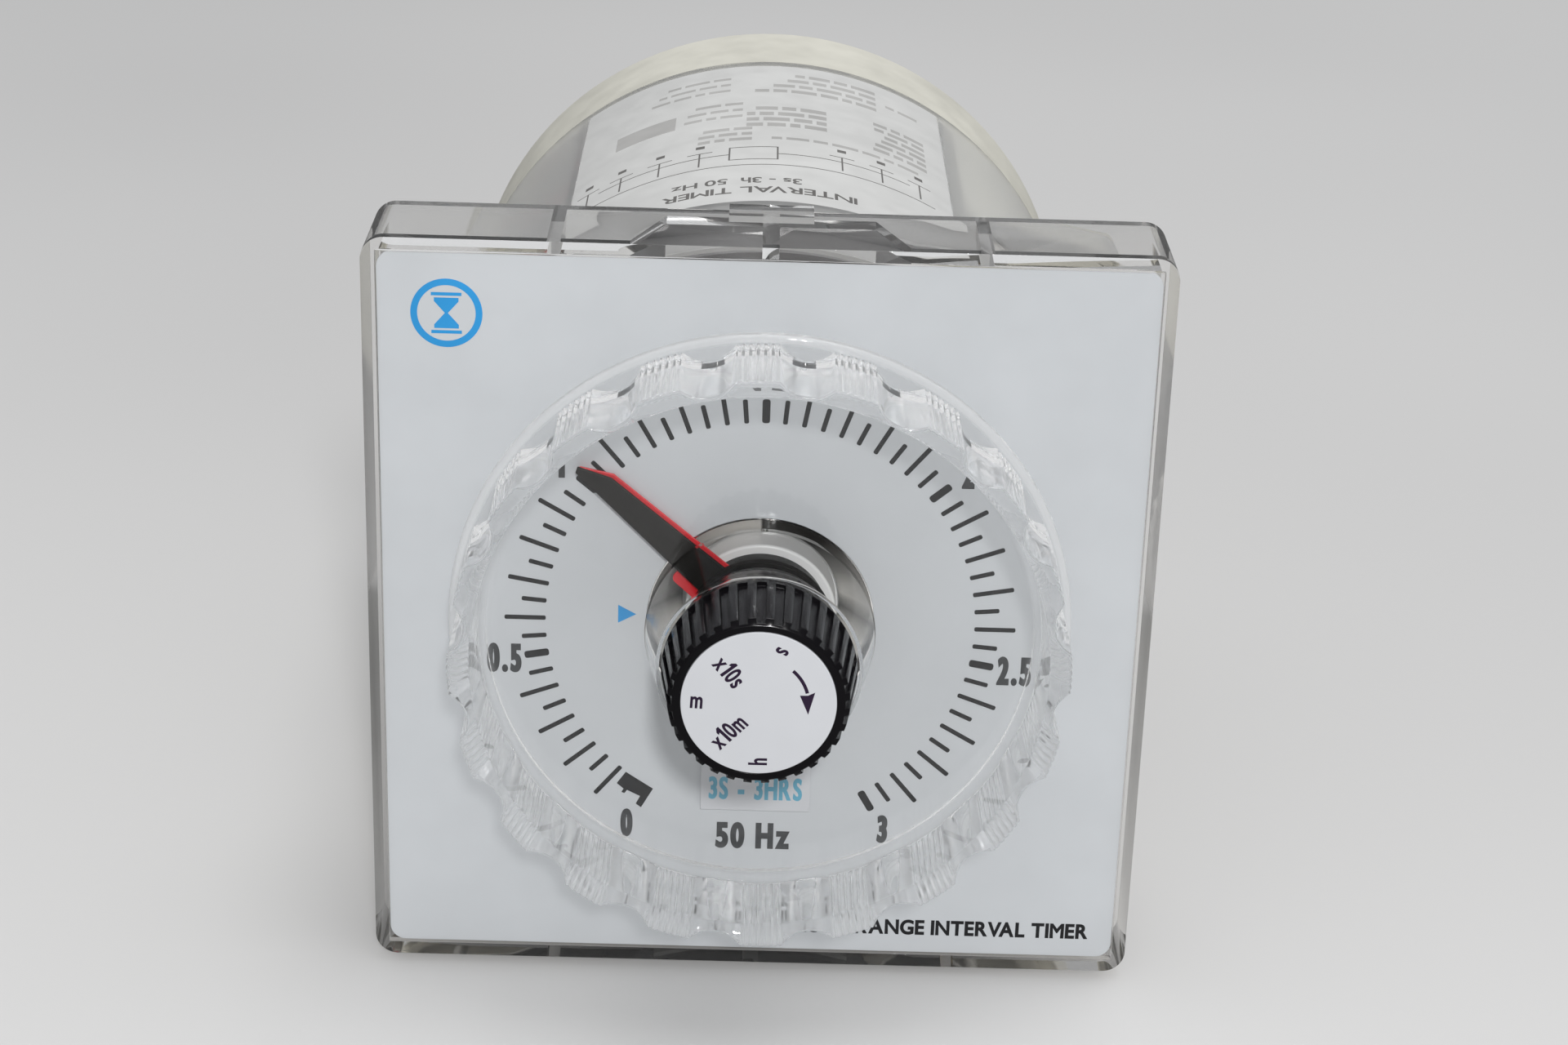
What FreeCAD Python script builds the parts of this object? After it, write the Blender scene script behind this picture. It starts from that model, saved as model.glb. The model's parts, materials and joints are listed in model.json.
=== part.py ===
import FreeCAD, Part
import math
import os
import Sketcher
from types import SimpleNamespace

# Panel-mounted synchronous timer, in millimetres.
# +Z is up, the front faces -Y and +X is to the right as seen from the front.
# The origin is the centre of the bezel's rear face, which is the face of the panel.
# A clock angle is counted clockwise from the top, as seen from the front.

Vector = FreeCAD.Vector
os.makedirs("parts", exist_ok=True)
doc = FreeCAD.newDocument("PanelTimer")

DRIVING_SIZES = {
    # bezel: a standard 96 mm square front
    "bezel_half": 48.0, "bezel_depth": 14.6, "bezel_plate": 3.0, "bezel_wall": 2.0,
    "bezel_corner": 2.8, "bezel_hole": 14.2, "rib_offset": 25.5, "rib_half": 0.8, "rib_height": 6.0,
    "block_front_half": 16.7, "block_rear_half": 12.6, "block_height": 4.0, "block_setback": 1.4,
    "block_slot_half": 1.0, "lug_half": 5.1, "lug_length": 4.8, "lug_height": 0.8,
    # scale plate, set into the front of the bezel
    "plate_half": 46.2, "plate_thickness": 0.5, "plate_recess": 0.5, "plate_corner": 2.0,
    "plate_hole": 13.95, "tab_half_width": 6.85, "tab_bottom": 25.6, "tab_height": 6.4,
    # clear setting dial
    "dial_flange": 38.0, "dial_crest": 37.0, "dial_trough": 35.3, "dial_inner": 34.0,
    "dial_gap": 0.7, "dial_flange_thickness": 1.6, "dial_front": 29.6, "dial_disc_rear": 16.1,
    "dial_disc_front": 18.4, "dial_fillet": 3.0, "dial_bore": 7.6, "scallop_count": 20.0,
    "scallop_cutter": 4.0, "flutes_per_crest": 6.0, "flute_pitch_angle": 1.35, "flute_depth": 0.35,
    "flute_half": 0.28, "rim_rounding": 0.3, "rim_land": 1.45, "rim_bevel": 1.3, "collar_base": 14.05,
    "collar_rim": 12.3, "collar_wall": 0.45, "collar_front": 28.4,
    # the two pointers
    "rest_angle": -46.8, "arm_hub_left": 1.8, "arm_hub_right": 2.7, "arm_tip_right": 1.4,
    "arm_short": 26.4, "arm_nose": 0.42, "arm_long": 30.3, "arm_heel": 1.08,
    "red_front": 14.8, "red_rear": 14.4, "red_trim": 0.55, "red_margin": 0.38,
    "ear_radius": 0.8, "ear_inner": 7.2, "ear_outer": 12.1, "ear_reach": 3.2,
    "black_rear": 14.95, "black_arm_front": 15.6, "hub_radius": 8.9, "hub_cap_front": 21.0,
    "hub_cap_radius": 9.8,
    # hub funnel and white drum
    "funnel_front": 13.75, "funnel_rear": 9.7, "funnel_depth": 6.5, "funnel_wall": 0.55,
    "drum_radius": 8.2, "drum_step": 9.3, "drum_step_front": 11.7,
    # range knob
    "knob_front": 37.2, "knob_rear": 21.6, "knob_rear_radius": 10.0, "knob_skirt": 28.6,
    "knob_skirt_radius": 11.65, "knob_front_radius": 10.65, "knob_face_radius": 9.85,
    "knob_nose": 0.55, "knob_rib_count": 32.0, "knob_groove_angle": 5.9, "knob_groove_depth": 0.55,
    "cap_radius": 9.08, "cap_thickness": 0.8, "cap_proud": 0.1,
    # concentric spindles
    "spindle_radius": 2.5, "tube_outer": 5.0, "running_gap": 0.06, "tube_rear": 24.0,
    "spindle_rear": 41.0,
    # case
    "case_radius": 45.3, "case_wall": 1.8, "case_rear": 83.4, "overall_rear": 101.2,
    "label_thickness": 0.2, "label_front": 13.4, "label_rear": 81.0, "label_angle": 68.0,
    "label_centre": -2.0,
    # chassis and movement plates
    "chassis_wall": 2.2, "chassis_front": -11.4, "chassis_floor": -9.0, "chassis_drum": 41.0,
    "chassis_hole": 13.1, "chassis_flange": 44.7, "chassis_flange_front": -1.2,
    "chassis_spigot": 43.2, "chassis_rear": 10.0, "front_plate_face": 5.0,
    "rear_plate_face": 40.0, "movement_plate": 1.5, "movement_plate_radius": 42.4,
    "pillar_ring": 38.5, "pillar_radius": 2.2,
    # gear train
    "gear_module": 0.9, "pinion_teeth": 10.0, "wheel_teeth": 28.0, "clutch_teeth": 48.0,
    "wheel_thickness": 2.5, "stud_radius": 1.25, "first_axis": 200.0,
    # clutch
    "lining_inner": 12.0, "lining_outer": 19.0, "clutch_disc": 19.2, "peg_reach": 20.4,
    "coil_ring": 27.0, "coil_angle": 300.0, "coil_radius": 9.0,
    # motor
    "motor_ring": 19.0, "motor_radius": 18.0, "motor_front": 41.5, "motor_gearbox": 5.0,
    "motor_rear": 58.0,
    # rear base and terminals
    "base_wall_front": 88.0, "base_wall_rear": 91.0, "leg_half_angle": 16.0, "leg_centre": 52.0,
    "terminal_pitch": 11.0, "terminal_row": 15.0, "terminal_seat": 97.0,
}


class Size:
    """A number together with the formula that FreeCAD binds to, so both stay in step."""

    def __init__(self, number, formula=None):
        self.number = float(number)
        self.formula = formula or "%.9g" % number

    def _with(self, other, sign, result):
        other = other if isinstance(other, Size) else Size(other)
        return Size(result(self.number, other.number), "(%s %s %s)" % (self.formula, sign, other.formula))

    def __add__(self, other):
        return self._with(other, "+", lambda a, b: a + b)

    def __sub__(self, other):
        return self._with(other, "-", lambda a, b: a - b)

    def __mul__(self, other):
        return self._with(other, "*", lambda a, b: a * b)

    def __truediv__(self, other):
        return self._with(other, "/", lambda a, b: a / b)

    def __neg__(self):
        return Size(-self.number, "(-%s)" % self.formula)

    def __rsub__(self, other):
        return Size(other) - self

    def __rtruediv__(self, other):
        return Size(other) / self

    __radd__ = __add__
    __rmul__ = __mul__


def as_size(value):
    return value if isinstance(value, Size) else Size(value)


def sine(angle):
    angle = as_size(angle)
    return Size(math.sin(math.radians(angle.number)), "sin(%s)" % angle.formula)


def cosine(angle):
    angle = as_size(angle)
    return Size(math.cos(math.radians(angle.number)), "cos(%s)" % angle.formula)


def fill_sheet():
    """Write the driving sizes to a spreadsheet and return them as Size objects."""
    sheet = doc.addObject("Spreadsheet::Sheet", "Sizes")
    sizes = {}
    for row, (name, number) in enumerate(DRIVING_SIZES.items(), start=1):
        sheet.set("A%d" % row, name)
        sheet.set("B%d" % row, str(number))
        sheet.setAlias("B%d" % row, name)
        sizes[name] = Size(number, "Sizes." + name)
    doc.recompute()
    return SimpleNamespace(**sizes)


s = fill_sheet()
finished = []


# ---------------------------------------------------------------- modelling helpers

def new_body(label, turn=None, at=None):
    """A part body; turn rotates it clockwise about its own Y line, at is its (x, z) place."""
    body = doc.addObject("PartDesign::Body", label)
    body.Label = label
    if turn is not None:
        body.Placement.Rotation = FreeCAD.Rotation(Vector(0, 1, 0), as_size(turn).number)
    if at is not None:
        body.setExpression("Placement.Base.x", as_size(at[0]).formula)
        body.setExpression("Placement.Base.z", as_size(at[1]).formula)
    return body


def origin_item(body, role):
    return next(item for item in body.Origin.OriginFeatures if item.Role == role)


def new_sketch(body, name, role, distance=None):
    sketch = body.newObject("Sketcher::SketchObject", name)
    sketch.AttachmentSupport = (origin_item(body, role), [""])
    sketch.MapMode = "FlatFace"
    if distance is not None:
        sketch.setExpression("AttachmentOffset.Base.z", (-as_size(distance)).formula)
    return sketch


def bind(sketch, kind, *arguments):
    """Add one dimension and bind it to its formula."""
    *geometry, size = arguments
    size = as_size(size)
    index = sketch.addConstraint(Sketcher.Constraint(kind, *geometry, size.number))
    sketch.setExpression("Constraints[%d]" % index, size.formula)


def draw_outline(sketch, corners):
    """A closed outline of straight lines whose corners are all dimensioned from the origin."""
    first = sketch.GeometryCount
    corners = [(as_size(a), as_size(b)) for a, b in corners]
    count = len(corners)
    for index, (a, b) in enumerate(corners):
        c, d = corners[(index + 1) % count]
        start = Vector(a.number, b.number, 0)
        sketch.addGeometry(Part.LineSegment(start, Vector(c.number, d.number, 0)), False)
    for index, (a, b) in enumerate(corners):
        line, following = first + index, first + (index + 1) % count
        sketch.addConstraint(Sketcher.Constraint("Coincident", line, 2, following, 1))
        bind(sketch, "DistanceX", -1, 1, line, 1, a)
        bind(sketch, "DistanceY", -1, 1, line, 1, b)


def draw_circle(sketch, x, z, radius):
    x, z, radius = as_size(x), as_size(z), as_size(radius)
    centre = Vector(x.number, z.number, 0)
    circle = sketch.addGeometry(Part.Circle(centre, Vector(0, 0, 1), radius.number), False)
    bind(sketch, "DistanceX", -1, 1, circle, 3, x)
    bind(sketch, "DistanceY", -1, 1, circle, 3, z)
    bind(sketch, "Radius", circle, radius)


def volume_of(body):
    return 0.0 if body.Tip is None or body.Tip.Shape.isNull() else body.Tip.Shape.Volume


def settle(body, before, cut, name):
    """Recompute and make sure that a feature added or removed material as it should."""
    doc.recompute()
    change = body.Tip.Shape.Volume - before
    if (change >= 0) if cut else (change <= 0):
        raise RuntimeError("%s of %s changed the volume by %.3f" % (name, body.Label, change))


def lathe(body, name, outline, cut=False, angle=None):
    """Turn an outline of (radius, y) corners about the Y axis, or cut a groove with it."""
    before = volume_of(body)
    sketch = new_sketch(body, name + "Sketch", "XY_Plane")
    draw_outline(sketch, outline)
    feature = body.newObject("PartDesign::Groove" if cut else "PartDesign::Revolution", name)
    feature.Profile = sketch
    feature.ReferenceAxis = (sketch, ["V_Axis"])
    if angle is None:
        feature.Angle = 360
    else:
        feature.Midplane = True
        feature.setExpression("Angle", as_size(angle).formula)
    settle(body, before, cut, name)
    return feature


def extrude(body, name, start, end, outlines=(), circles=(), cut=False):
    """Extrude (x, z) outlines and (x, z, radius) circles from y = start back to y = end."""
    before = volume_of(body)
    sketch = new_sketch(body, name + "Sketch", "XZ_Plane", start)
    for outline in outlines:
        draw_outline(sketch, outline)
    for circle in circles:
        draw_circle(sketch, *circle)
    feature = body.newObject("PartDesign::Pocket" if cut else "PartDesign::Pad", name)
    feature.Profile = sketch
    feature.setExpression("Length", (as_size(end) - start).formula)
    feature.Reversed = not cut
    settle(body, before, cut, name)
    return feature


def cross_rod(body, name, left, right, centre, radius, cut=False):
    """A rod, or a hole, along X; centre is its (y, z) place."""
    before = volume_of(body)
    sketch = new_sketch(body, name + "Sketch", "YZ_Plane")
    sketch.setExpression("AttachmentOffset.Base.z", as_size(left).formula)
    draw_circle(sketch, centre[0], centre[1], radius)
    feature = body.newObject("PartDesign::Pocket" if cut else "PartDesign::Pad", name)
    feature.Profile = sketch
    feature.setExpression("Length", (as_size(right) - left).formula)
    feature.Reversed = cut
    settle(body, before, cut, name)
    return feature


def repeat_around(body, name, features, count):
    """Repeat features around the Y axis."""
    pattern = body.newObject("PartDesign::PolarPattern", name)
    pattern.Originals = features
    pattern.Axis = (origin_item(body, "Y_Axis"), [""])
    pattern.Angle = 360
    pattern.setExpression("Occurrences", as_size(count).formula)
    body.Tip = pattern
    doc.recompute()
    return pattern


def soften(body, name, radius, wanted, kind="Fillet"):
    """Round or chamfer the edges of the tip that the wanted test picks."""
    base = body.Tip
    edges = [i for i, edge in enumerate(base.Shape.Edges, start=1) if wanted(edge)]
    if not edges:
        raise RuntimeError("no edge to soften on " + body.Label)
    feature = body.newObject("PartDesign::" + kind, name)
    feature.Base = (base, ["Edge%d" % i for i in edges])
    feature.setExpression("Radius" if kind == "Fillet" else "Size", as_size(radius).formula)
    doc.recompute()


def corner_edges(half):
    """Picks the edges along Y at the corners of a square of this half width."""
    half = as_size(half).number

    def wanted(edge):
        first, last = edge.Vertexes[0].Point, edge.Vertexes[-1].Point
        along_y = abs(first.x - last.x) < 1e-4 and abs(first.z - last.z) < 1e-4
        return along_y and abs(abs(first.x) - half) < 1e-3 and abs(abs(first.z) - half) < 1e-3

    return wanted


def round_edges(radius, y):
    """Picks the full circles of this radius at this y."""
    radius, y = as_size(radius).number, as_size(y).number

    def wanted(edge):
        curve = edge.Curve
        if not isinstance(curve, Part.Circle):
            return False
        return abs(curve.Radius - radius) < 1e-3 and abs(curve.Center.y - y) < 1e-3

    return wanted


def square(half):
    return [(-half, -half), (half, -half), (half, half), (-half, half)]


def rectangle(left, right, bottom, top):
    return [(left, bottom), (right, bottom), (right, top), (left, top)]


def on_ring(radius, clock):
    """The (x, z) place on a ring at a clock angle."""
    return radius * sine(clock), radius * cosine(clock)


def feature_of(label, shape, at=None, turn=0.0):
    """A part whose shape comes from Part's own functions."""
    part = doc.addObject("Part::Feature", label)
    part.Label = label
    part.Shape = shape
    x, z = (0.0, 0.0) if at is None else (as_size(at[0]).number, as_size(at[1]).number)
    part.Placement = FreeCAD.Placement(Vector(x, 0, z), FreeCAD.Rotation(Vector(0, 1, 0), turn))
    return keep(part)


def keep(part):
    finished.append(part)
    return part


def group(label, pattern_body, places):
    """Copies of one body at several (x, z) places, as one node of separate solids."""
    doc.recompute()
    copies = []
    for x, z in places:
        copy = pattern_body.Shape.copy()
        copy.translate(Vector(as_size(x).number, 0, as_size(z).number))
        copies.append(copy)
    return feature_of(label, Part.makeCompound(copies))


# ---------------------------------------------------------------- shared places

front = -s.bezel_depth
scale_face = front + s.plate_recess
scale_rear = scale_face + s.plate_thickness
bezel_inner = front + s.bezel_plate
case_inner = s.case_radius - s.case_wall
plate_a_rear = s.front_plate_face + s.movement_plate
plate_b_rear = s.rear_plate_face + s.movement_plate
tube_bore = s.spindle_radius + s.running_gap
drum_bore = s.tube_outer + s.running_gap

pinion_pitch = s.gear_module * s.pinion_teeth / 2
wheel_pitch = s.gear_module * s.wheel_teeth / 2
clutch_pitch = s.gear_module * s.clutch_teeth / 2
axis_ring = clutch_pitch + pinion_pitch
axis_step = math.degrees(2 * math.asin((wheel_pitch + pinion_pitch).number / axis_ring.number / 2))
STAGES = 4
stage_angle = [s.first_axis.number - axis_step * stage for stage in range(STAGES + 1)]
stage_place = [on_ring(axis_ring, clock) for clock in stage_angle]
stage_front = [None] + [35.0 - 6.0 * stage for stage in range(STAGES)]
coil_place = on_ring(s.coil_ring, s.coil_angle)
PILLAR_CLOCKS = [(stage_angle[3] + stage_angle[4]) / 2, (stage_angle[0] + stage_angle[1]) / 2, 335.0]
pillar_places = [on_ring(s.pillar_ring, clock) for clock in PILLAR_CLOCKS]
TIE_CLOCKS = [20.0, 130.0, 240.0]
tie_places = [on_ring(s.pillar_ring, clock) for clock in TIE_CLOCKS]
trip_place = on_ring(34.0, 350.0)
rod_place = on_ring(32.5, 322.6)
selector_place = on_ring(20.0, 335.0)
motor_place = on_ring(s.motor_ring, s.first_axis)
SWITCH_CLOCK = 20.0
TERMINAL_COLUMNS = [-2, -1, 0, 1, 2]


def beside(place, distance, clock):
    """The (x, z) place at a distance from another place in a clock direction."""
    return place[0] + distance * sine(clock), place[1] + distance * cosine(clock)


motor_screw_places = [beside(motor_place, s.motor_radius + 2.2, s.first_axis + turn)
                      for turn in (90.0, -90.0)]
switch_screw_places = [(18.5 * sine(SWITCH_CLOCK) + offset * cosine(SWITCH_CLOCK),
                        18.5 * cosine(SWITCH_CLOCK) - offset * sine(SWITCH_CLOCK))
                       for offset in (-4.75, 4.75)]
terminal_places = [(s.terminal_pitch * column, s.terminal_row * side)
                   for side in (1, -1) for column in TERMINAL_COLUMNS]


# ---------------------------------------------------------------- front

def front_bezel():
    body = new_body("front_bezel")
    extrude(body, "Block", front, 0, [square(s.bezel_half)])
    soften(body, "Corners", s.bezel_corner, corner_edges(s.bezel_half))
    cavity = s.bezel_half - s.bezel_wall
    extrude(body, "Cavity", bezel_inner, 0, [square(cavity)], cut=True)
    extrude(body, "PlateSeat", front, scale_rear, [square(s.plate_half + 0.1)], cut=True)
    extrude(body, "HubHole", scale_rear, bezel_inner, circles=[(0, 0, s.bezel_hole)], cut=True)
    for side, word in ((1, "Top"), (-1, "Bottom")):
        wall = cavity + 0.5
        ribs = []
        for offset in (-s.rib_offset, s.rib_offset):
            left, right = offset - s.rib_half, offset + s.rib_half
            ribs.append(rectangle(left, right, (cavity - s.rib_height) * side, wall * side))
        extrude(body, "Ribs" + word, bezel_inner - 0.5, 0, ribs)
        block = body.newObject("Sketcher::SketchObject", "Block%sSketch" % word)
        block.AttachmentSupport = (origin_item(body, "XY_Plane"), [""])
        block.MapMode = "FlatFace"
        block.setExpression("AttachmentOffset.Base.z", (cavity * side).formula)
        rear = -s.block_setback
        for mirror in (1, -1):
            draw_outline(block, [(s.block_slot_half * mirror, bezel_inner - 0.5),
                                 (s.block_front_half * mirror, bezel_inner - 0.5),
                                 (s.block_rear_half * mirror, rear),
                                 (s.block_slot_half * mirror, rear)])
        pad = body.newObject("PartDesign::Pad", "Block" + word)
        pad.Profile = block
        pad.setExpression("Length", s.block_height.formula)
        pad.Reversed = side > 0
        doc.recompute()
        lug = rectangle(-s.lug_half, s.lug_half, (s.bezel_half - 0.5) * side,
                        (s.bezel_half + s.lug_height) * side)
        extrude(body, "Lug" + word, -s.lug_length, 0, [lug])
    return keep(body)


def scale_plate():
    body = new_body("scale_plate")
    extrude(body, "Sheet", scale_face, scale_rear, [square(s.plate_half)])
    soften(body, "Corners", s.plate_corner, corner_edges(s.plate_half))
    extrude(body, "HubHole", scale_face, scale_rear, circles=[(0, 0, s.plate_hole)], cut=True)
    return keep(body)


def range_plate():
    """The small raised plate that gives the timing range."""
    body = new_body("range_plate")
    edge = rectangle(-s.tab_half_width, s.tab_half_width, -s.tab_bottom, s.tab_height - s.tab_bottom)
    extrude(body, "Tab", scale_face - s.plate_thickness, scale_face, [edge])
    return keep(body)


def hub_funnel():
    """Polished metal funnel between the scale plate and the white drum."""
    body = new_body("hub_funnel")
    rear = scale_face + s.funnel_depth
    lathe(body, "Cone", [
        (s.funnel_front, scale_face), (s.funnel_rear, rear), (s.funnel_rear + 2.6, rear),
        (s.funnel_rear + 2.6, rear - s.funnel_wall), (s.funnel_rear + 2 * s.funnel_wall, rear - s.funnel_wall),
        (s.plate_hole, scale_face + 0.9), (s.plate_hole, scale_face)])
    return keep(body)


# ---------------------------------------------------------------- setting dial and pointers

def setting_dial():
    half_step = 180 / s.scallop_count
    body = new_body("setting_dial", turn=s.rest_angle - half_step)
    flange_rear = front - s.dial_gap
    flange_front = flange_rear - s.dial_flange_thickness
    rim_front, disc_front, disc_rear = -s.dial_front, -s.dial_disc_front, -s.dial_disc_rear
    collar_front = -s.collar_front
    lathe(body, "Bowl", [
        (s.dial_bore, disc_rear), (s.dial_inner - 0.8, disc_rear), (s.dial_inner - 0.8, flange_rear),
        (s.dial_flange, flange_rear), (s.dial_flange, flange_front), (s.dial_crest, flange_front),
        (s.dial_crest, rim_front), (s.dial_crest - s.rim_land, rim_front),
        (s.dial_inner + 0.2, rim_front + s.rim_bevel), (s.dial_inner - 0.5, disc_front),
        (s.collar_base, disc_front), (s.collar_rim, collar_front),
        (s.collar_rim - s.collar_wall, collar_front), (s.collar_base - s.collar_wall, disc_front),
        (s.dial_bore, disc_front)])
    soften(body, "RimRounding", s.rim_rounding, round_edges(s.dial_crest, rim_front), "Chamfer")
    soften(body, "BowlFillet", s.dial_fillet, round_edges(s.dial_inner - 0.5, disc_front))
    centre = s.dial_trough + s.scallop_cutter
    scallop = extrude(body, "Scallop", rim_front, flange_front,
                      circles=[(centre * sine(half_step), centre * cosine(half_step), s.scallop_cutter)],
                      cut=True)
    grooves = []
    flutes = int(s.flutes_per_crest.number)
    for flute in range(flutes):
        clock = s.flute_pitch_angle * (flute - (flutes - 1) / 2)
        spread = s.flute_half / s.dial_crest * math.degrees(1)
        outer, floor = s.dial_crest + 0.1, s.dial_crest - s.flute_depth
        grooves.append([on_ring(outer, clock - spread), on_ring(floor, clock),
                        on_ring(outer, clock + spread)])
    fluting = extrude(body, "Fluting", rim_front, flange_front, grooves, cut=True)
    repeat_around(body, "Grip", [scallop, fluting], s.scallop_count)
    return keep(body)


def pointer_arm(trim=0.0, margin=0.0):
    """A tapered arm along +Z with a slanting tip; the trim is taken off its left edge and its point."""
    inner, point = s.tube_outer + 1, s.arm_long - as_size(trim) / 2
    return [(trim - s.arm_hub_left, inner), (s.arm_hub_right + margin, inner),
            (s.arm_tip_right + margin, s.arm_short), (-s.arm_nose, point),
            (trim - s.arm_heel, point - 0.3)]


def set_pointer():
    """Black setting pointer with the hub that clamps the clear dial."""
    body = new_body("set_pointer", turn=s.rest_angle)
    disc_rear, disc_front = -s.dial_disc_rear, -s.dial_disc_front
    lathe(body, "Hub", [
        (s.tube_outer, -s.black_rear), (s.hub_radius, -s.black_rear), (s.hub_radius, disc_rear),
        (s.dial_bore, disc_rear), (s.dial_bore, disc_front), (s.tube_outer, disc_front)])
    extrude(body, "Arm", -s.black_arm_front, -s.black_rear, [pointer_arm()])
    return keep(body)


def hub_cap():
    """Black ring that traps the dial's disc on the pointer hub."""
    body = new_body("hub_cap")
    disc_front = -s.dial_disc_front
    lathe(body, "Ring", [
        (s.tube_outer, disc_front), (s.hub_radius, disc_front), (s.hub_cap_radius, -s.hub_cap_front),
        (s.tube_outer, -s.hub_cap_front)])
    soften(body, "Edge", 0.2, round_edges(s.hub_cap_radius, -s.hub_cap_front))
    return keep(body)


def setting_tube():
    """Hollow spindle of the dial, with the collar that holds the clutch wheel forward."""
    body = new_body("setting_tube")
    lathe(body, "Tube", [
        (tube_bore, 0.5 - s.hub_cap_front), (s.tube_outer, 0.5 - s.hub_cap_front),
        (s.tube_outer, 9.7), (6.8, 9.7), (6.8, 10.7), (s.tube_outer, 10.7),
        (s.tube_outer, s.tube_rear), (tube_bore, s.tube_rear)])
    return keep(body)


def elapsed_pointer():
    """Red pointer: a thin ring on the front of the drum, an arm and a rounded ear at its root."""
    body = new_body("elapsed_pointer", turn=s.rest_angle)
    rear, face = -s.red_rear, -s.red_front
    lathe(body, "Ring", [
        (s.tube_outer + 0.4, face), (s.drum_radius, face), (s.drum_radius, rear),
        (s.tube_outer + 0.4, rear)])
    extrude(body, "Arm", face, rear, [pointer_arm(s.red_trim, s.red_margin)])
    root = rectangle(-s.ear_reach, s.arm_tip_right, s.ear_inner, s.ear_outer)
    extrude(body, "Root", face, rear, [root])
    corner = Vector(-s.ear_reach.number, 0, s.ear_outer.number)

    def ear_corner(edge):
        ends = [Vector(vertex.Point.x, 0, vertex.Point.z) for vertex in edge.Vertexes]
        return all(end.distanceToPoint(corner) < 1e-3 for end in ends)

    soften(body, "Ear", s.ear_radius, ear_corner)
    return keep(body)


def elapsed_drum():
    """White drum that carries the red pointer; its flange is the driven clutch disc."""
    body = new_body("elapsed_drum", turn=90.0)
    lathe(body, "Drum", [
        (drum_bore, -s.red_rear), (s.drum_radius, -s.red_rear), (s.drum_radius, -s.drum_step_front),
        (s.drum_step, -s.drum_step_front), (s.drum_step, -6.5), (s.clutch_disc, -6.5),
        (s.clutch_disc, -5.0), (drum_bore, -5.0)])
    peg = rectangle(-0.8, 0.8, s.clutch_disc - 1.0, s.peg_reach)
    extrude(body, "TripPeg", -6.5, -5.0, [peg])
    return keep(body)


def return_spring():
    """Flat spiral spring that turns the red pointer back against the black one."""
    turns, steps_per_turn = 2.5, 18
    inner, outer, half_strip = 9.6, 15.5, 0.15
    steps = int(turns * steps_per_turn)

    def edge(offset, order):
        points = []
        for step in order:
            angle = 2 * math.pi * step / steps_per_turn
            radius = inner + (outer - inner) * step / steps + offset
            points.append(Vector(radius * math.sin(angle), -7.45, radius * math.cos(angle)))
        return points

    ring = edge(half_strip, range(steps + 1)) + edge(-half_strip, range(steps, -1, -1))
    face = Part.Face(Part.makePolygon(ring + ring[:1]))
    return feature_of("return_spring", face.extrude(Vector(0, 0.8, 0)))


def clutch_lining():
    body = new_body("clutch_lining")
    lathe(body, "Ring", [(s.lining_inner, -5.0), (s.lining_outer, -5.0), (s.lining_outer, -4.3),
                         (s.lining_inner, -4.3)])
    return keep(body)


# ---------------------------------------------------------------- range knob

def range_knob():
    body = new_body("range_knob")
    face, rear = -s.knob_front, -s.knob_rear
    nose = face + s.knob_nose
    floor = face + s.cap_thickness - s.cap_proud
    skirt, depth = -s.knob_skirt, s.knob_groove_depth
    lathe(body, "Knob", [
        (s.spindle_radius, rear), (s.knob_rear_radius, rear), (s.knob_skirt_radius, skirt),
        (s.knob_front_radius, nose), (s.knob_face_radius, face), (s.cap_radius + 0.08, face),
        (s.cap_radius + 0.08, floor), (0, floor), (0, floor + 2.4), (s.spindle_radius, floor + 2.4)])
    outside = s.knob_skirt_radius + 0.5
    groove = lathe(body, "Groove", [
        (s.knob_skirt_radius - depth, skirt), (outside, skirt), (outside, face),
        (s.knob_front_radius - depth, face)], cut=True, angle=s.knob_groove_angle)
    repeat_around(body, "Ribs", [groove], s.knob_rib_count)
    return keep(body)


def range_cap():
    body = new_body("range_cap")
    face = -s.knob_front - s.cap_proud
    lathe(body, "Disc", [(0, face), (s.cap_radius - 0.15, face), (s.cap_radius, face + 0.15),
                         (s.cap_radius, face + s.cap_thickness), (0, face + s.cap_thickness)])
    return keep(body)


def range_spindle():
    body = new_body("range_spindle")
    nose = s.cap_thickness - s.cap_proud + 2.4 - s.knob_front
    lathe(body, "Shaft", [(0, nose), (s.spindle_radius, nose), (s.spindle_radius, s.spindle_rear),
                          (0, s.spindle_rear)])
    return keep(body)


def spindle_clip():
    body = new_body("spindle_clip")
    lathe(body, "Ring", [(s.spindle_radius, 35.2), (4.4, 35.2), (4.4, 35.9), (s.spindle_radius, 35.9)])
    return keep(body)


def range_cam():
    """Stack on the range spindle: an eight-notch detent disc and the cam that shifts the train."""
    body = new_body("range_cam")
    lathe(body, "Stack", [
        (s.spindle_radius, 25.0), (10.5, 25.0), (10.5, 27.0), (6.0, 27.0), (6.0, 29.0), (9.5, 29.0),
        (9.5, 31.0), (4.6, 31.0), (4.6, 34.0), (s.spindle_radius, 34.0)])
    notch = extrude(body, "Notch", 25.0, 27.0, circles=[(0, 11.6, 2.0)], cut=True)
    repeat_around(body, "Notches", [notch], 8)
    extrude(body, "CamFlat", 29.0, 31.0, [rectangle(-10.0, 10.0, 7.0, 10.0)], cut=True)
    extrude(body, "CamFlat2", 29.0, 31.0, [rectangle(5.5, 10.0, -10.0, 10.0)], cut=True)
    return keep(body)


# ---------------------------------------------------------------- gears

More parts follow.
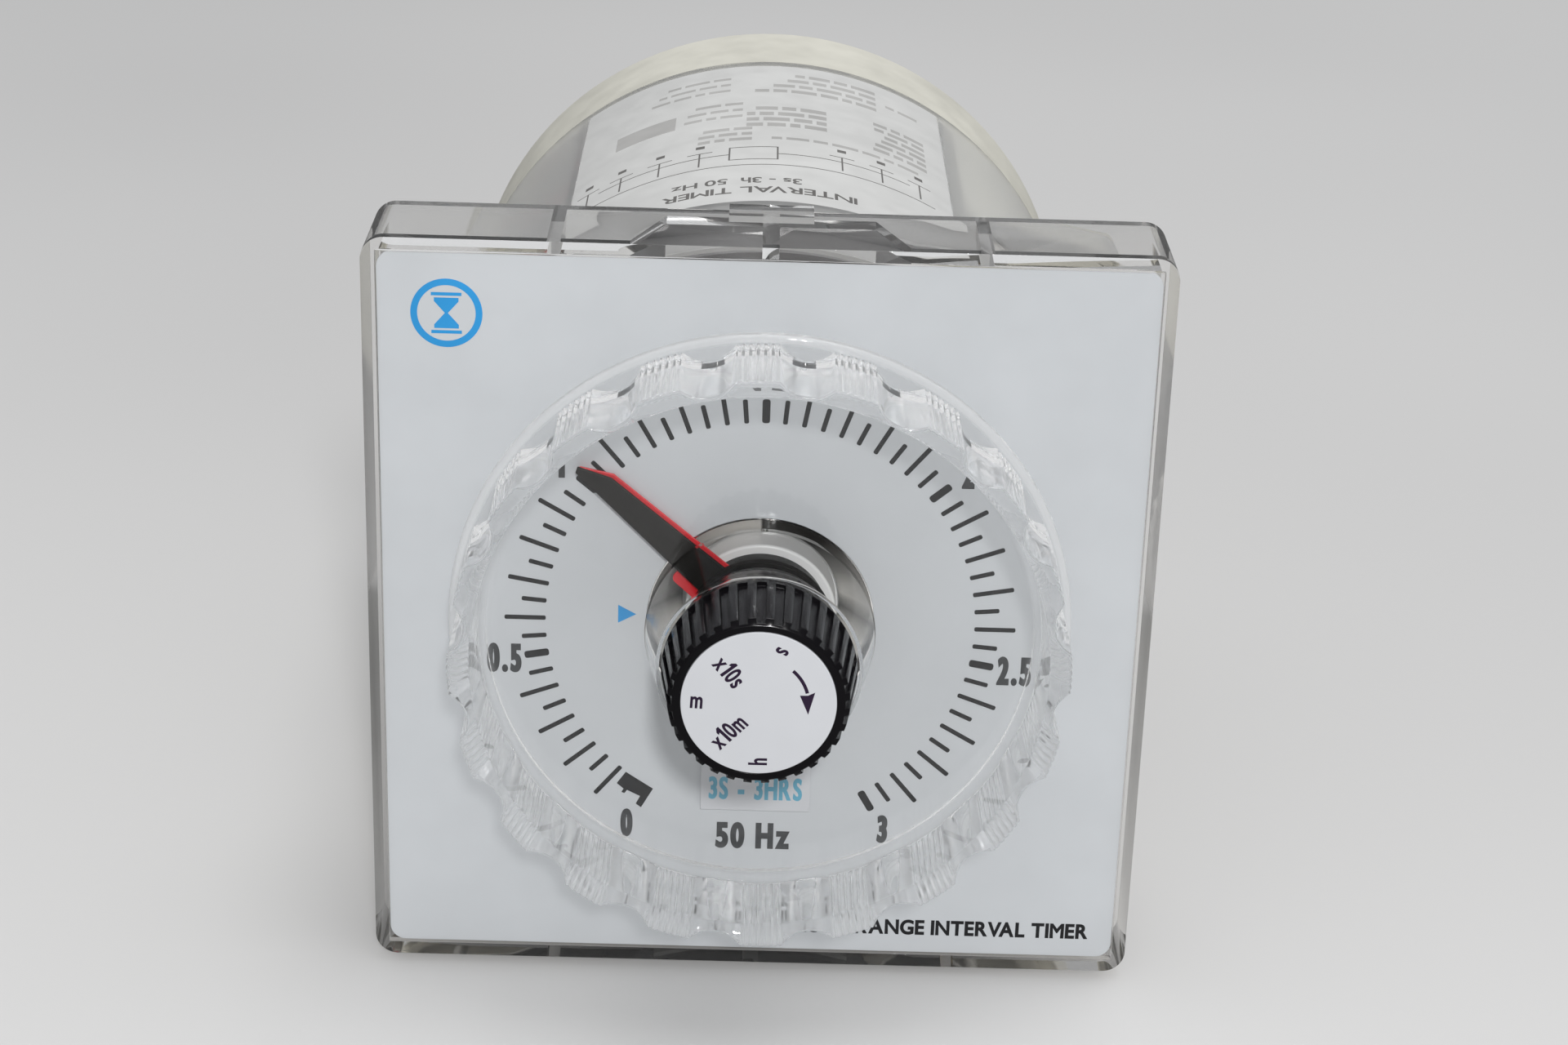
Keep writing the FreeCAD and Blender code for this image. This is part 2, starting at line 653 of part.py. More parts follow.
def gear_outline(teeth, y, phase=0.0):
    """Closed outline of straight-flanked teeth; the first tooth is at the clock angle phase."""
    module = s.gear_module.number
    pitch_radius = module * teeth / 2
    tip, root = pitch_radius + 0.8 * module, pitch_radius - 1.1 * module
    step = 360.0 / teeth
    tip_half, root_half = 0.11 * step, 0.30 * step
    points = []
    for tooth in range(teeth):
        middle = phase + tooth * step
        for radius, offset in ((root, -root_half), (tip, -tip_half), (tip, tip_half), (root, root_half)):
            clock = math.radians(middle + offset)
            points.append(Vector(radius * math.sin(clock), y, radius * math.cos(clock)))
    return points + points[:1]


def gear_solid(teeth, start, end, phase=0.0):
    face = Part.Face(Part.makePolygon(gear_outline(teeth, start, phase)))
    return face.extrude(Vector(0, end - start, 0))


def rod(radius, start, end, x=0.0, z=0.0):
    return Part.makeCylinder(radius, end - start, Vector(x, start, z), Vector(0, 1, 0))


def meshing_phase(phase, teeth, other_teeth, direction):
    """Phase of a gear that meshes with one of known phase, in this direction from it."""
    offset = (phase - direction) * teeth / other_teeth
    return direction + 180.0 - offset + 180.0 / other_teeth


def clock_between(start, end):
    across = as_size(end[0]).number - as_size(start[0]).number
    upward = as_size(end[1]).number - as_size(start[1]).number
    return math.degrees(math.atan2(across, upward))


def gear_train():
    """Motor pinion, four compound gears on studs and the wheel that drives the clutch."""
    pinion, wheel, crown = (int(count.number) for count in (s.pinion_teeth, s.wheel_teeth, s.clutch_teeth))
    bore = s.stud_radius.number + s.running_gap.number
    thick = s.wheel_thickness.number
    phase = 0.0
    shape = gear_solid(pinion, 34.0, 38.5, phase).fuse(rod(1.2, 38.5, s.motor_front.number - 0.1))
    feature_of("motor_pinion", shape.removeSplitter(), stage_place[0])
    for stage in range(1, STAGES + 1):
        direction = clock_between(stage_place[stage - 1], stage_place[stage])
        phase = meshing_phase(phase, pinion, wheel, direction)
        start = stage_front[stage]
        shape = gear_solid(wheel, start, start + thick, phase)
        if stage < STAGES:
            shape = shape.fuse(gear_solid(pinion, start - 7.0, start, phase))
            nose = start - 7.0
        else:
            nose = -4.1
            shape = shape.fuse(rod(3.0, -1.0, start)).fuse(gear_solid(pinion, nose, -1.0, phase))
        shape = shape.cut(rod(bore, nose - 1, start + thick + 1))
        for spoke in range(4):
            x, z = on_ring(Size(7.9), 45.0 + 90.0 * spoke)
            shape = shape.cut(rod(2.4, start - 1, start + thick + 1, x.number, z.number))
        feature_of("train_gear_%d" % stage, shape.removeSplitter(), stage_place[stage])
    direction = clock_between(stage_place[STAGES], (0.0, 0.0))
    phase = meshing_phase(phase, pinion, crown, direction)
    shape = gear_solid(crown, -3.8, -1.2, phase).fuse(rod(7.5, -1.2, 0.6)).fuse(rod(9.5, 0.6, 1.4))
    feature_of("clutch_wheel", shape.cut(rod(drum_bore.number, -5.0, 2.0)).removeSplitter())


def gear_studs():
    """Fixed studs on which the compound gears turn."""
    studs = []
    for stage in range(1, STAGES + 1):
        start = -5.2 if stage == STAGES else s.front_plate_face.number
        x, z = (size.number for size in stage_place[stage])
        studs.append(rod(s.stud_radius.number, start, plate_b_rear.number, x, z))
    x, z = (size.number for size in selector_place)
    studs.append(rod(s.stud_radius.number, 27.5, s.rear_plate_face.number, x, z))
    feature_of("gear_studs", Part.makeCompound(studs))


# ---------------------------------------------------------------- movement frame

def movement_chassis():
    """Moulded drum behind the bezel: it carries the front plate and the clear case."""
    body = new_body("movement_chassis")
    drum, wall = s.chassis_drum, s.chassis_wall
    lathe(body, "Drum", [
        (s.chassis_hole, s.chassis_front), (drum, s.chassis_front),
        (drum, s.chassis_flange_front), (s.chassis_flange, s.chassis_flange_front),
        (s.chassis_flange, 0), (s.chassis_spigot, 0),
        (s.chassis_spigot, s.chassis_rear), (s.movement_plate_radius, s.chassis_rear),
        (s.movement_plate_radius, s.front_plate_face), (s.chassis_spigot - wall, s.front_plate_face),
        (s.chassis_spigot - wall, 1.0), (drum - wall, 1.0), (drum - wall, s.chassis_floor),
        (s.chassis_hole, s.chassis_floor)])
    posts = [(x, z, s.pillar_radius + 0.2) for x, z in pillar_places]
    extrude(body, "Posts", s.chassis_floor - 0.5, s.front_plate_face, circles=posts)
    holes = [(x, z, s.pillar_radius - 0.8) for x, z in pillar_places]
    extrude(body, "PostHoles", -3.0, s.front_plate_face, circles=holes, cut=True)
    return keep(body)


def movement_plate(label, face, holes):
    """A round steel plate with holes given as (x, z, radius)."""
    body = new_body(label)
    extrude(body, "Disc", face, face + s.movement_plate, circles=[(0, 0, s.movement_plate_radius)])
    extrude(body, "Holes", face, face + s.movement_plate, circles=holes, cut=True)
    return body


def movement_plates():
    studs = [place + (s.stud_radius,) for place in stage_place[1:]]
    screws = [place + (s.pillar_radius - 0.8,) for place in pillar_places]
    trip = [trip_place + (Size(1.56),)]
    rod_hole = [rod_place + (Size(1.06),)]
    front_holes = [(0, 0, 8.0), coil_place + (Size(4.0),), stage_place[4] + (Size(3.4),)]
    keep(movement_plate("front_plate", s.front_plate_face,
                        front_holes + studs[:3] + screws + trip + rod_hole))
    rear_holes = [(0, 0, 4.0), stage_place[0] + (Size(2.5),)]
    ties = [place + (Size(1.6),) for place in tie_places]
    motor = [place + (Size(1.2),) for place in motor_screw_places]
    switch = [place + (Size(1.1),) for place in switch_screw_places]
    keep(movement_plate("rear_plate", s.rear_plate_face,
                        rear_holes + studs + screws + trip + rod_hole + ties + motor + switch))


def bushes():
    """Bearings of the setting tube and of the range spindle."""
    body = new_body("tube_bush")
    lathe(body, "Bush", [(drum_bore, 4.0), (9.5, 4.0), (9.5, 5.0), (8.0, 5.0), (8.0, 9.5),
                         (drum_bore, 9.5)])
    keep(body)
    body = new_body("spindle_bush")
    lathe(body, "Bush", [(tube_bore, 36.0), (5.5, 36.0), (5.5, 40.0), (4.0, 40.0),
                         (4.0, plate_b_rear), (tube_bore, plate_b_rear)])
    keep(body)


def pillars():
    pattern = new_body("pillar_pattern")
    thread = s.pillar_radius - 0.8
    lathe(pattern, "Pillar", [
        (0, -2.5), (thread, -2.5), (thread, plate_a_rear), (s.pillar_radius, plate_a_rear),
        (s.pillar_radius, s.rear_plate_face), (thread, s.rear_plate_face), (thread, 33.0), (0, 33.0)])
    group("pillars", pattern, pillar_places)
    screw = new_body("pillar_screw_pattern")
    pan_screw(screw, thread, 33.0, plate_b_rear, 2.3, 1.8)
    group("pillar_screws", screw, pillar_places)


def pan_screw(body, shank, tip, seat, head, height):
    """A screw that points forward: its slotted head sits behind y = seat."""
    lathe(body, "Screw", [
        (0, tip), (shank, tip), (shank, seat), (head, seat), (head, seat + height * 0.6),
        (head * 0.75, seat + height), (0, seat + height)])
    slot = rectangle(-head - 1, head + 1, Size(-0.35), Size(0.35))
    extrude(body, "Slot", seat + height * 0.5, seat + height, [slot], cut=True)


# ---------------------------------------------------------------- clutch magnet

def coil_parts():
    x, z = coil_place
    spots = {"at": (x, z)}
    bobbin = new_body("coil_bobbin", **spots)
    cheek = s.coil_radius + 0.5
    lathe(bobbin, "Bobbin", [
        (3.5, 8.0), (cheek, 8.0), (cheek, 9.2), (5.0, 9.2), (5.0, 28.3), (cheek, 28.3), (cheek, 29.5),
        (3.5, 29.5)])
    keep(bobbin)
    winding = new_body("coil_winding", **spots)
    lathe(winding, "Winding", [(5.0, 9.2), (s.coil_radius, 9.2), (s.coil_radius, 28.3), (5.0, 28.3)])
    keep(winding)
    core = new_body("coil_core", **spots)
    lathe(core, "Core", [(0, 4.3), (3.5, 4.3), (3.5, 31.5), (0, 31.5)])
    keep(core)
    yoke = new_body("coil_yoke", turn=s.coil_angle, at=(x, z))
    extrude(yoke, "Back", 29.5, 31.5, [rectangle(-7.0, 7.0, -7.0, 12.0)])
    extrude(yoke, "CoreHole", 29.5, 31.5, circles=[(0, 0, 3.5)], cut=True)
    extrude(yoke, "Limb", plate_a_rear, 31.5, [rectangle(-7.0, 7.0, 10.2, 12.0)])
    keep(yoke)


def clutch_lever():
    """Forked armature: the coil pulls its outer end, its fork pushes the clutch wheel forward."""
    body = new_body("clutch_lever", turn=s.coil_angle)
    extrude(body, "Blade", 2.2, 3.2, [
        [(-8.5, -3.0), (8.5, -3.0), (8.5, 9.0), (4.5, 16.0), (6.5, 22.0), (14.0, 27.5), (14.0, 32.0),
         (-6.5, 32.0), (-6.5, 22.0), (-4.5, 16.0), (-8.5, 9.0)]])
    extrude(body, "Fork", 2.2, 3.2, [rectangle(-5.7, 5.7, -3.5, 0.0)], cut=True)
    extrude(body, "ForkThroat", 2.2, 3.2, circles=[(0, 0, 5.7)], cut=True)
    cross_rod(body, "Barrel", -6.3, 6.3, (2.7, 18.0), 1.1)
    cross_rod(body, "PinHole", -6.3, 6.3, (2.7, 18.0), 0.56, cut=True)
    return keep(body)


def clutch_bracket():
    """Two ears on the front plate and the pin between them, on which the lever rocks."""
    body = new_body("clutch_bracket", turn=s.coil_angle)
    extrude(body, "Foot", 4.2, s.front_plate_face, [rectangle(-8.0, 8.0, 15.5, 20.5)])
    extrude(body, "Ears", 1.4, s.front_plate_face, [
        rectangle(-8.0, -6.6, 15.5, 20.5), rectangle(6.6, 8.0, 15.5, 20.5)])
    cross_rod(body, "Pin", -8.0, 8.0, (2.7, 18.0), 0.5)
    return keep(body)


def clutch_spring():
    """Leaf on the front plate that pushes the armature off the coil."""
    body = new_body("clutch_spring", turn=s.coil_angle)
    sketch = new_sketch(body, "LeafSketch", "YZ_Plane")
    sketch.setExpression("AttachmentOffset.Base.z", "-6.2")
    draw_outline(sketch, [(4.8, 34.5), (5.0, 34.5), (5.0, 31.5), (3.7, 22.5), (3.5, 22.5), (4.8, 31.5)])
    leaf = body.newObject("PartDesign::Pad", "Leaf")
    leaf.Profile = sketch
    leaf.Length = 1.6
    doc.recompute()
    return keep(body)


def push_rod():
    """Rod from the armature through both plates to the instantaneous switch."""
    body = new_body("push_rod", at=rod_place)
    lathe(body, "Rod", [(0, 3.4), (1.0, 3.4), (1.0, 43.4), (0, 43.4)])
    return keep(body)


# ---------------------------------------------------------------- switches

def trip_lever():
    """Shaft with an arm over the clutch disc and a finger on the timed switch."""
    body = new_body("trip_lever", turn=350.0)
    pivot = (0, 34.0)
    extrude(body, "Shaft", -6.5, 47.7, circles=[pivot + (1.5,)])
    extrude(body, "Arm", -6.5, -5.0, [[(-1.6, 34.0), (-0.7, 20.9), (0.7, 20.9), (1.6, 34.0)]])
    extrude(body, "ArmBoss", -7.0, -4.5, circles=[pivot + (2.8,)])
    extrude(body, "Boss", 42.2, 47.2, circles=[pivot + (2.8,)])
    # the finger lies across the plunger of the switch, which is turned 30 degrees from here
    turn = 30.0
    reach, low, high = 14.0, -2.6, -1.0
    finger = [(0, low), (reach, low), (reach, high), (0, high)]
    turned = []
    for across, upward in finger:
        x = Size(across) * cosine(turn) - Size(-upward) * sine(turn)
        z = 34.0 - Size(across) * sine(turn) + Size(upward) * cosine(turn)
        turned.append((x, z))
    extrude(body, "Finger", 43.2, 46.2, [turned])
    return keep(body)


def switches():
    """Timed and instantaneous changeover switches with their plungers, bracket and screws."""
    timed = new_body("timed_switch", turn=SWITCH_CLOCK)
    extrude(timed, "Housing", plate_b_rear, 47.9, [rectangle(-10.0, 10.0, 16.0, 26.0)])
    holes = [(-4.75, 18.5, 1.1), (4.75, 18.5, 1.1)]
    extrude(timed, "ScrewHoles", plate_b_rear, 47.9, circles=holes, cut=True)
    extrude(timed, "PlungerHole", 43.7, 45.7, [rectangle(-6.0, -4.0, 24.0, 26.0)], cut=True)
    extrude(timed, "Tags", 43.9, 45.5, [rectangle(x, x + 0.6, 13.0, 16.0) for x in (-8.0, -0.3, 7.4)])
    keep(timed)
    plunger = new_body("timed_plunger", turn=SWITCH_CLOCK)
    extrude(plunger, "Button", 43.75, 45.65, [rectangle(-5.95, -4.05, 25.0, 26.75)])
    keep(plunger)

    turn = 322.6
    instant = new_body("instant_switch", turn=turn)
    extrude(instant, "Housing", 45.0, 55.0, [rectangle(-10.0, 10.0, 29.3, 35.7)])
    extrude(instant, "PlungerHole", 45.0, 47.0, [rectangle(-1.0, 1.0, 31.5, 33.5)], cut=True)
    extrude(instant, "Tags", 55.0, 58.0, [rectangle(x, x + 0.6, 31.7, 33.3) for x in (-8.0, -0.3, 7.4)])
    keep(instant)
    plunger = new_body("instant_plunger", turn=turn)
    extrude(plunger, "Button", 43.55, 46.2, [rectangle(-0.95, 0.95, 31.55, 33.45)])
    keep(plunger)
    bracket = new_body("switch_bracket", turn=turn)
    extrude(bracket, "Upright", plate_b_rear, 53.0, [rectangle(-7.0, 7.0, 28.3, 29.3)])
    extrude(bracket, "Foot", plate_b_rear, plate_b_rear + 1.0, [rectangle(-7.0, 7.0, 22.5, 29.3)])
    keep(bracket)
    screw = new_body("switch_screw_pattern")
    pan_screw(screw, Size(1.1), Size(38.0), Size(47.9), Size(2.0), Size(1.4))
    group("switch_screws", screw, switch_screw_places)


# ---------------------------------------------------------------- range shifting

def selector_lever():
    """Follower that the range cam rocks to shift the gear train."""
    body = new_body("selector_lever", turn=335.0)
    pivot = (0, 20.0)
    extrude(body, "Follower", 29.0, 31.0, [[(-1.8, 20.0), (-0.8, 10.4), (0.8, 10.4), (1.8, 20.0)]])
    extrude(body, "ShiftArm", 29.0, 31.0, [[(0, 18.6), (13.0, 21.0), (13.0, 23.0), (0, 21.4)]])
    extrude(body, "Boss", 28.0, 33.0, circles=[pivot + (2.6,)])
    extrude(body, "Bore", 28.0, 33.0, circles=[pivot + (s.stud_radius + s.running_gap,)], cut=True)
    return keep(body)


def detent_spring():
    """Sprung arm whose nose clicks into the notches of the range cam."""
    body = new_body("detent_spring", turn=240.0)
    extrude(body, "Post", 24.5, s.rear_plate_face, circles=[(0, 16.0, 1.3)])
    extrude(body, "Strip", 25.0, 27.0, [[(0, 15.7), (0, 16.3), (-8.1, 9.5), (-7.8, 9.0)]])
    extrude(body, "Nose", 25.0, 27.0, circles=[(-7.8, 9.0, 1.2)])
    return keep(body)


# ---------------------------------------------------------------- motor

def motor():
    gearbox = new_body("motor_gearbox", turn=s.first_axis, at=motor_place)
    rear = s.motor_front + s.motor_gearbox
    lathe(gearbox, "Box", [(0, s.motor_front), (s.motor_radius, s.motor_front), (s.motor_radius, rear),
                           (0, rear)])
    reach = s.motor_radius + 5.0
    extrude(gearbox, "Ears", s.motor_front, s.motor_front + 1.2, [rectangle(-reach, reach, -3.2, 3.2)])
    holes = [(reach - 2.8, 0, 1.2), (2.8 - reach, 0, 1.2)]
    extrude(gearbox, "EarHoles", s.motor_front, s.motor_front + 1.2, circles=holes, cut=True)
    keep(gearbox)
    can = new_body("motor_can", at=motor_place)
    shell = s.motor_radius - 0.6
    lathe(can, "Can", [(0, rear), (shell, rear), (shell, s.motor_rear), (0, s.motor_rear)])
    soften(can, "Edge", 1.2, round_edges(shell, s.motor_rear))
    keep(can)
    screw = new_body("motor_screw_pattern")
    pan_screw(screw, Size(1.2), Size(38.6), s.motor_front + 1.2, Size(2.2), Size(1.5))
    group("motor_screws", screw, motor_screw_places)


# ---------------------------------------------------------------- case and rear

def case():
    """Clear cylindrical cover, with a shallow seat for the label."""
    body = new_body("case", turn=s.label_centre - 90)
    lathe(body, "Wall", [(case_inner, 0), (s.case_radius, 0), (s.case_radius, s.case_rear),
                         (case_inner, s.case_rear)])
    seat = s.case_radius - s.label_thickness
    lathe(body, "LabelSeat", [(seat, s.label_front), (s.case_radius + 1, s.label_front),
                              (s.case_radius + 1, s.label_rear), (seat, s.label_rear)],
          cut=True, angle=s.label_angle)
    return keep(body)


def rating_label():
    body = new_body("rating_label", turn=s.label_centre - 90)
    seat = s.case_radius - s.label_thickness
    lathe(body, "Sheet", [(seat, s.label_front), (s.case_radius, s.label_front),
                          (s.case_radius, s.label_rear), (seat, s.label_rear)], angle=s.label_angle)
    return keep(body)


def rear_base():
    """Moulded rear end: a spigot for the case, a terminal well and three legs to the movement."""
    turn = s.leg_centre - 90
    body = new_body("rear_base", turn=turn)
    wall_front, wall_rear = s.base_wall_front, s.base_wall_rear
    spigot_front, spigot_inner = s.case_rear - 3.4, s.chassis_drum
    lathe(body, "Ring", [
        (0, wall_front), (spigot_inner, wall_front), (spigot_inner, spigot_front),
        (s.chassis_spigot, spigot_front), (s.chassis_spigot, s.case_rear), (s.case_radius, s.case_rear),
        (s.case_radius, s.overall_rear), (43.0, s.overall_rear), (42.4, wall_rear), (0, wall_rear)])
    soften(body, "RearEdge", 0.8, round_edges(s.case_radius, s.overall_rear))
    leg = lathe(body, "Leg", [(spigot_inner, plate_b_rear), (s.chassis_spigot, plate_b_rear),
                              (s.chassis_spigot, spigot_front + 1), (spigot_inner, spigot_front + 1)],
                angle=s.leg_half_angle * 2)
    repeat_around(body, "Legs", [leg], 3)
    holes = [on_ring(s.pillar_ring, clock - turn) + (1.6,) for clock in TIE_CLOCKS]
    extrude(body, "TieHoles", wall_front, wall_rear, circles=holes, cut=True)
    return keep(body)


def tie_screws():
    screw = new_body("tie_screw_pattern")
    pan_screw(screw, Size(1.5), Size(38.0), s.base_wall_rear, Size(3.0), Size(2.2))
    group("tie_screws", screw, tie_places)


def terminal_block():
    """Two rows of screw terminals between barriers, in the well of the base."""
    body = new_body("terminal_block")
    seat, floor = s.terminal_seat, s.base_wall_rear
    half = s.terminal_pitch * 2.5
    rows = [(s.terminal_row * side - 5.5, s.terminal_row * side + 5.5) for side in (1, -1)]
    extrude(body, "Slab", floor, floor + 3, [rectangle(-half, half, -s.terminal_row - 6, s.terminal_row + 6)])
    extrude(body, "Rows", floor + 2.5, seat, [rectangle(-half, half, low, high) for low, high in rows])
    barriers = []
    for column in range(6):
        x = s.terminal_pitch * (column - 2.5)
        left = x if column == 0 else x - 0.7
        right = x if column == 5 else x + 0.7
        left = left if column < 5 else x - 1.4
        right = right if column > 0 else x + 1.4
        barriers += [rectangle(left, right, low, high) for low, high in rows]
    extrude(body, "Barriers", seat - 0.5, seat + 3.4, barriers)
    holes = [place + (1.7,) for place in terminal_places]
    extrude(body, "Threads", floor + 1, seat, circles=holes, cut=True)
    keep(body)
    clamp = new_body("clamp_pattern")
    extrude(clamp, "Square", seat, seat + 1, [square(3.9)])
    extrude(clamp, "Hole", seat, seat + 1, circles=[(0, 0, 1.7)], cut=True)
    group("terminal_clamps", clamp, terminal_places)
    screw = new_body("terminal_screw_pattern")
    pan_screw(screw, Size(1.7), floor + 1, seat + 1, Size(3.3), Size(2.2))
    group("terminal_screws", screw, terminal_places)


def lead(points, radius=0.75, bend_share=0.45):
    """A round wire of straight runs joined by arcs, which take bend_share of the shorter run."""
    runs = [end - start for start, end in zip(points, points[1:])]
    edges, start = [], points[0]
    for corner, before, after in zip(points[1:], runs, runs[1:]):
        turn = before.getAngle(after)
        touch = bend_share * min(before.Length, after.Length)
        along, away = Vector(before).normalize(), Vector(after).normalize()
        entry, leave = corner - along * touch, corner + away * touch
        inward = (away - along).normalize()
        bend = touch / math.tan(turn / 2)
        middle = corner + inward * bend * (1 / math.cos(turn / 2) - 1)
        edges += [Part.LineSegment(start, entry), Part.Arc(entry, middle, leave)]
        start = leave
    edges.append(Part.LineSegment(start, points[-1]))
    path = Part.Wire([edge.toShape() for edge in edges])
    ring = Part.Wire(Part.makeCircle(radius, points[0], runs[0]))
    return path.makePipeShell([ring], True, True)


def spot(radius, clock, y):
    x, z = on_ring(radius, clock)
    return Vector(x.number, y, z.number)


def leads():
    """Insulated wires from the motor and the coil to the rear base."""
    red = lead([spot(26.0, 220.0, 58.0), spot(26.0, 220.0, 66.0), spot(38.0, 260.0, 66.0),
                spot(40.5, 302.0, 66.0), spot(38.0, 316.0, 77.0), spot(38.0, 316.0, 88.0)])
    feature_of("red_lead", red)
    blue = lead([spot(22.0, 175.0, 58.0), spot(22.0, 175.0, 66.0), spot(28.0, 130.0, 72.0),
                 spot(30.0, 110.0, 78.0), spot(30.0, 110.0, 88.0)])
    feature_of("blue_lead", blue)


part_makers = [
    front_bezel, scale_plate, range_plate, hub_funnel, setting_dial, set_pointer, hub_cap,
    setting_tube, elapsed_pointer, elapsed_drum, return_spring, clutch_lining, range_knob,
    range_cap, range_spindle, spindle_clip, range_cam, gear_train, gear_studs, movement_chassis,
    movement_plates, bushes, pillars, coil_parts, clutch_lever, clutch_bracket, clutch_spring,
    push_rod, trip_lever, switches, selector_lever, detent_spring, motor, case, rating_label,
    rear_base, tie_screws, terminal_block, leads,
]


def export_parts():
    doc.recompute()
    for part in finished:
        shape = part.Shape
        if "Invalid" in part.State or "Error" in part.State or shape.isNull() or not shape.isValid():
            raise RuntimeError("%s did not build: %s" % (part.Label, part.State))
        shape.exportStep("parts/%s.step" % part.Label)


for maker in part_makers:
    maker()
export_parts()
print("%d parts" % len(finished))
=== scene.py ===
import json
import math

import bmesh
import bpy
from mathutils import Matrix, Vector
from mathutils.geometry import interpolate_bezier, tessellate_polygon


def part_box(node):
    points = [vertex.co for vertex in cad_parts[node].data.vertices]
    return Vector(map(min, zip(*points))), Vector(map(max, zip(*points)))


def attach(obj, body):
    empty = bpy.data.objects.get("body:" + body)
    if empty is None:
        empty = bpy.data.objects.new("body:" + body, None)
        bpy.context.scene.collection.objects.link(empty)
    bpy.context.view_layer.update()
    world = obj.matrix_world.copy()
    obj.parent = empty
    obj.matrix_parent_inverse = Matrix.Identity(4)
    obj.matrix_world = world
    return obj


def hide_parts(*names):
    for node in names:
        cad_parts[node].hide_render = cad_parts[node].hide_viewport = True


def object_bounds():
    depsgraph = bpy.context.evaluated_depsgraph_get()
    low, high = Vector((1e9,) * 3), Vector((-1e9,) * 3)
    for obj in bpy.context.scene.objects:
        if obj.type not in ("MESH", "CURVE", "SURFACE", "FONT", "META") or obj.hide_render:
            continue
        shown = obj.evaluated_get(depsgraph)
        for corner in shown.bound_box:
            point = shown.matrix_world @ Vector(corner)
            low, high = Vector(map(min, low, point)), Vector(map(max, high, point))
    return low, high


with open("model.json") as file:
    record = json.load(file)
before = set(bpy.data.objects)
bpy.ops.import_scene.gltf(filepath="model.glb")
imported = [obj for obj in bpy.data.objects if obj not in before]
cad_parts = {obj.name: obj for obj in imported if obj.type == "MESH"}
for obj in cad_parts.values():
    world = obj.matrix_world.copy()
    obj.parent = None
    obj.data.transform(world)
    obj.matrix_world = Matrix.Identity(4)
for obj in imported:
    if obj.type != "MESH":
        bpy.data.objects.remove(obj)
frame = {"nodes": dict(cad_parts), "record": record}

# Looks of the panel timer, in metres, in the frame of the CAD part:
# +Z up, front towards -Y. A clock angle counts clockwise from the top, seen from the front.

MM = 0.001
cad_low, cad_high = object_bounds()
nodes = frame["nodes"]
record = frame["record"]
slot_of = {part["node"]: part["material_slot"] for part in record["subparts"]}
body_of = {node: body for body, members in record["behaviour"]["bodies"].items() for node in members}
INK_DEPTH = 0.02 * MM
FLAT_ANGLE = 0.4  # faces that turn by less than this lie in one plane
EDGE_ANGLE = 28.0  # edges sharper than this are rounded
ARC_STEPS = 4  # pieces of the arc that replaces one corner


# ---------------------------------------------------------------- mesh helpers

def clock_point(radius, clock, y=0.0):
    """The point at a radius and a clock angle in degrees."""
    angle = math.radians(clock)
    return Vector((radius * math.sin(angle), y, radius * math.cos(angle)))


def shade_smooth(mesh, angle):
    """Smooth shading, apart from edges sharper than the angle in degrees."""
    for polygon in mesh.polygons:
        polygon.use_smooth = True
    mesh.set_sharp_from_angle(angle=math.radians(angle))


def new_piece(name, mesh, like, material, smooth=35.0, stands_for=True):
    """Links a mesh that rides with a CAD node's body and has the material given; it may stand for that node.

    Without smooth, an angle in degrees, the mesh keeps the normals that it has.
    """
    mesh.materials.clear()
    mesh.materials.append(material)
    for polygon in mesh.polygons:
        polygon.material_index = 0
    if smooth:
        shade_smooth(mesh, smooth)
    piece = bpy.data.objects.new(name, mesh)
    bpy.context.scene.collection.objects.link(piece)
    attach(piece, body_of[like])
    if stands_for:
        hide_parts(like)
    return piece


def mesh_from(name, work):
    bmesh.ops.recalc_face_normals(work, faces=work.faces)
    mesh = bpy.data.meshes.new(name)
    work.to_mesh(mesh)
    work.free()
    return mesh


def turned(name, outline, clocks, radius_at=None):
    """A closed outline of (radius, y) points turned about Y; radius_at may reshape it."""
    work = bmesh.new()
    rings = []
    for clock in clocks:
        ring = []
        for index, (radius, y) in enumerate(outline):
            if radius_at:
                radius = radius_at(index, radius, clock)
            ring.append(work.verts.new(clock_point(radius, clock, y)))
        rings.append(ring)
    count = len(outline)
    for here, there in zip(rings, rings[1:] + rings[:1]):
        for index in range(count):
            following = (index + 1) % count
            work.faces.new([here[index], here[following], there[following], there[index]])
    bmesh.ops.remove_doubles(work, verts=work.verts, dist=1e-7)
    return mesh_from(name, work)


def even_clocks(count):
    return [360.0 * step / count for step in range(count)]


def rounded(outline, corners):
    """Replaces corners of a closed outline by arcs; corners is {index: radius}.

    A point just outside each end of an arc keeps the shading of the straight parts straight.
    """
    points = []
    count = len(outline)
    for index, point in enumerate(outline):
        corner = Vector(point)
        radius = corners.get(index)
        if not radius:
            points.append(tuple(corner))
            continue
        before = (Vector(outline[index - 1]) - corner).normalized()
        after = (Vector(outline[(index + 1) % count]) - corner).normalized()
        half = before.angle(after) / 2
        reach = radius / math.tan(half)
        centre = corner + (before + after).normalized() * (radius / math.sin(half))
        start = corner + before * reach - centre
        end = corner + after * reach - centre
        sweep = math.atan2(start.cross(end), start.dot(end))
        hold = reach + 0.12 * radius
        points.append(tuple(corner + before * hold))
        for step in range(ARC_STEPS + 1):
            points.append(tuple(centre + Matrix.Rotation(sweep * step / ARC_STEPS, 2) @ start))
        points.append(tuple(corner + after * hold))
    return points


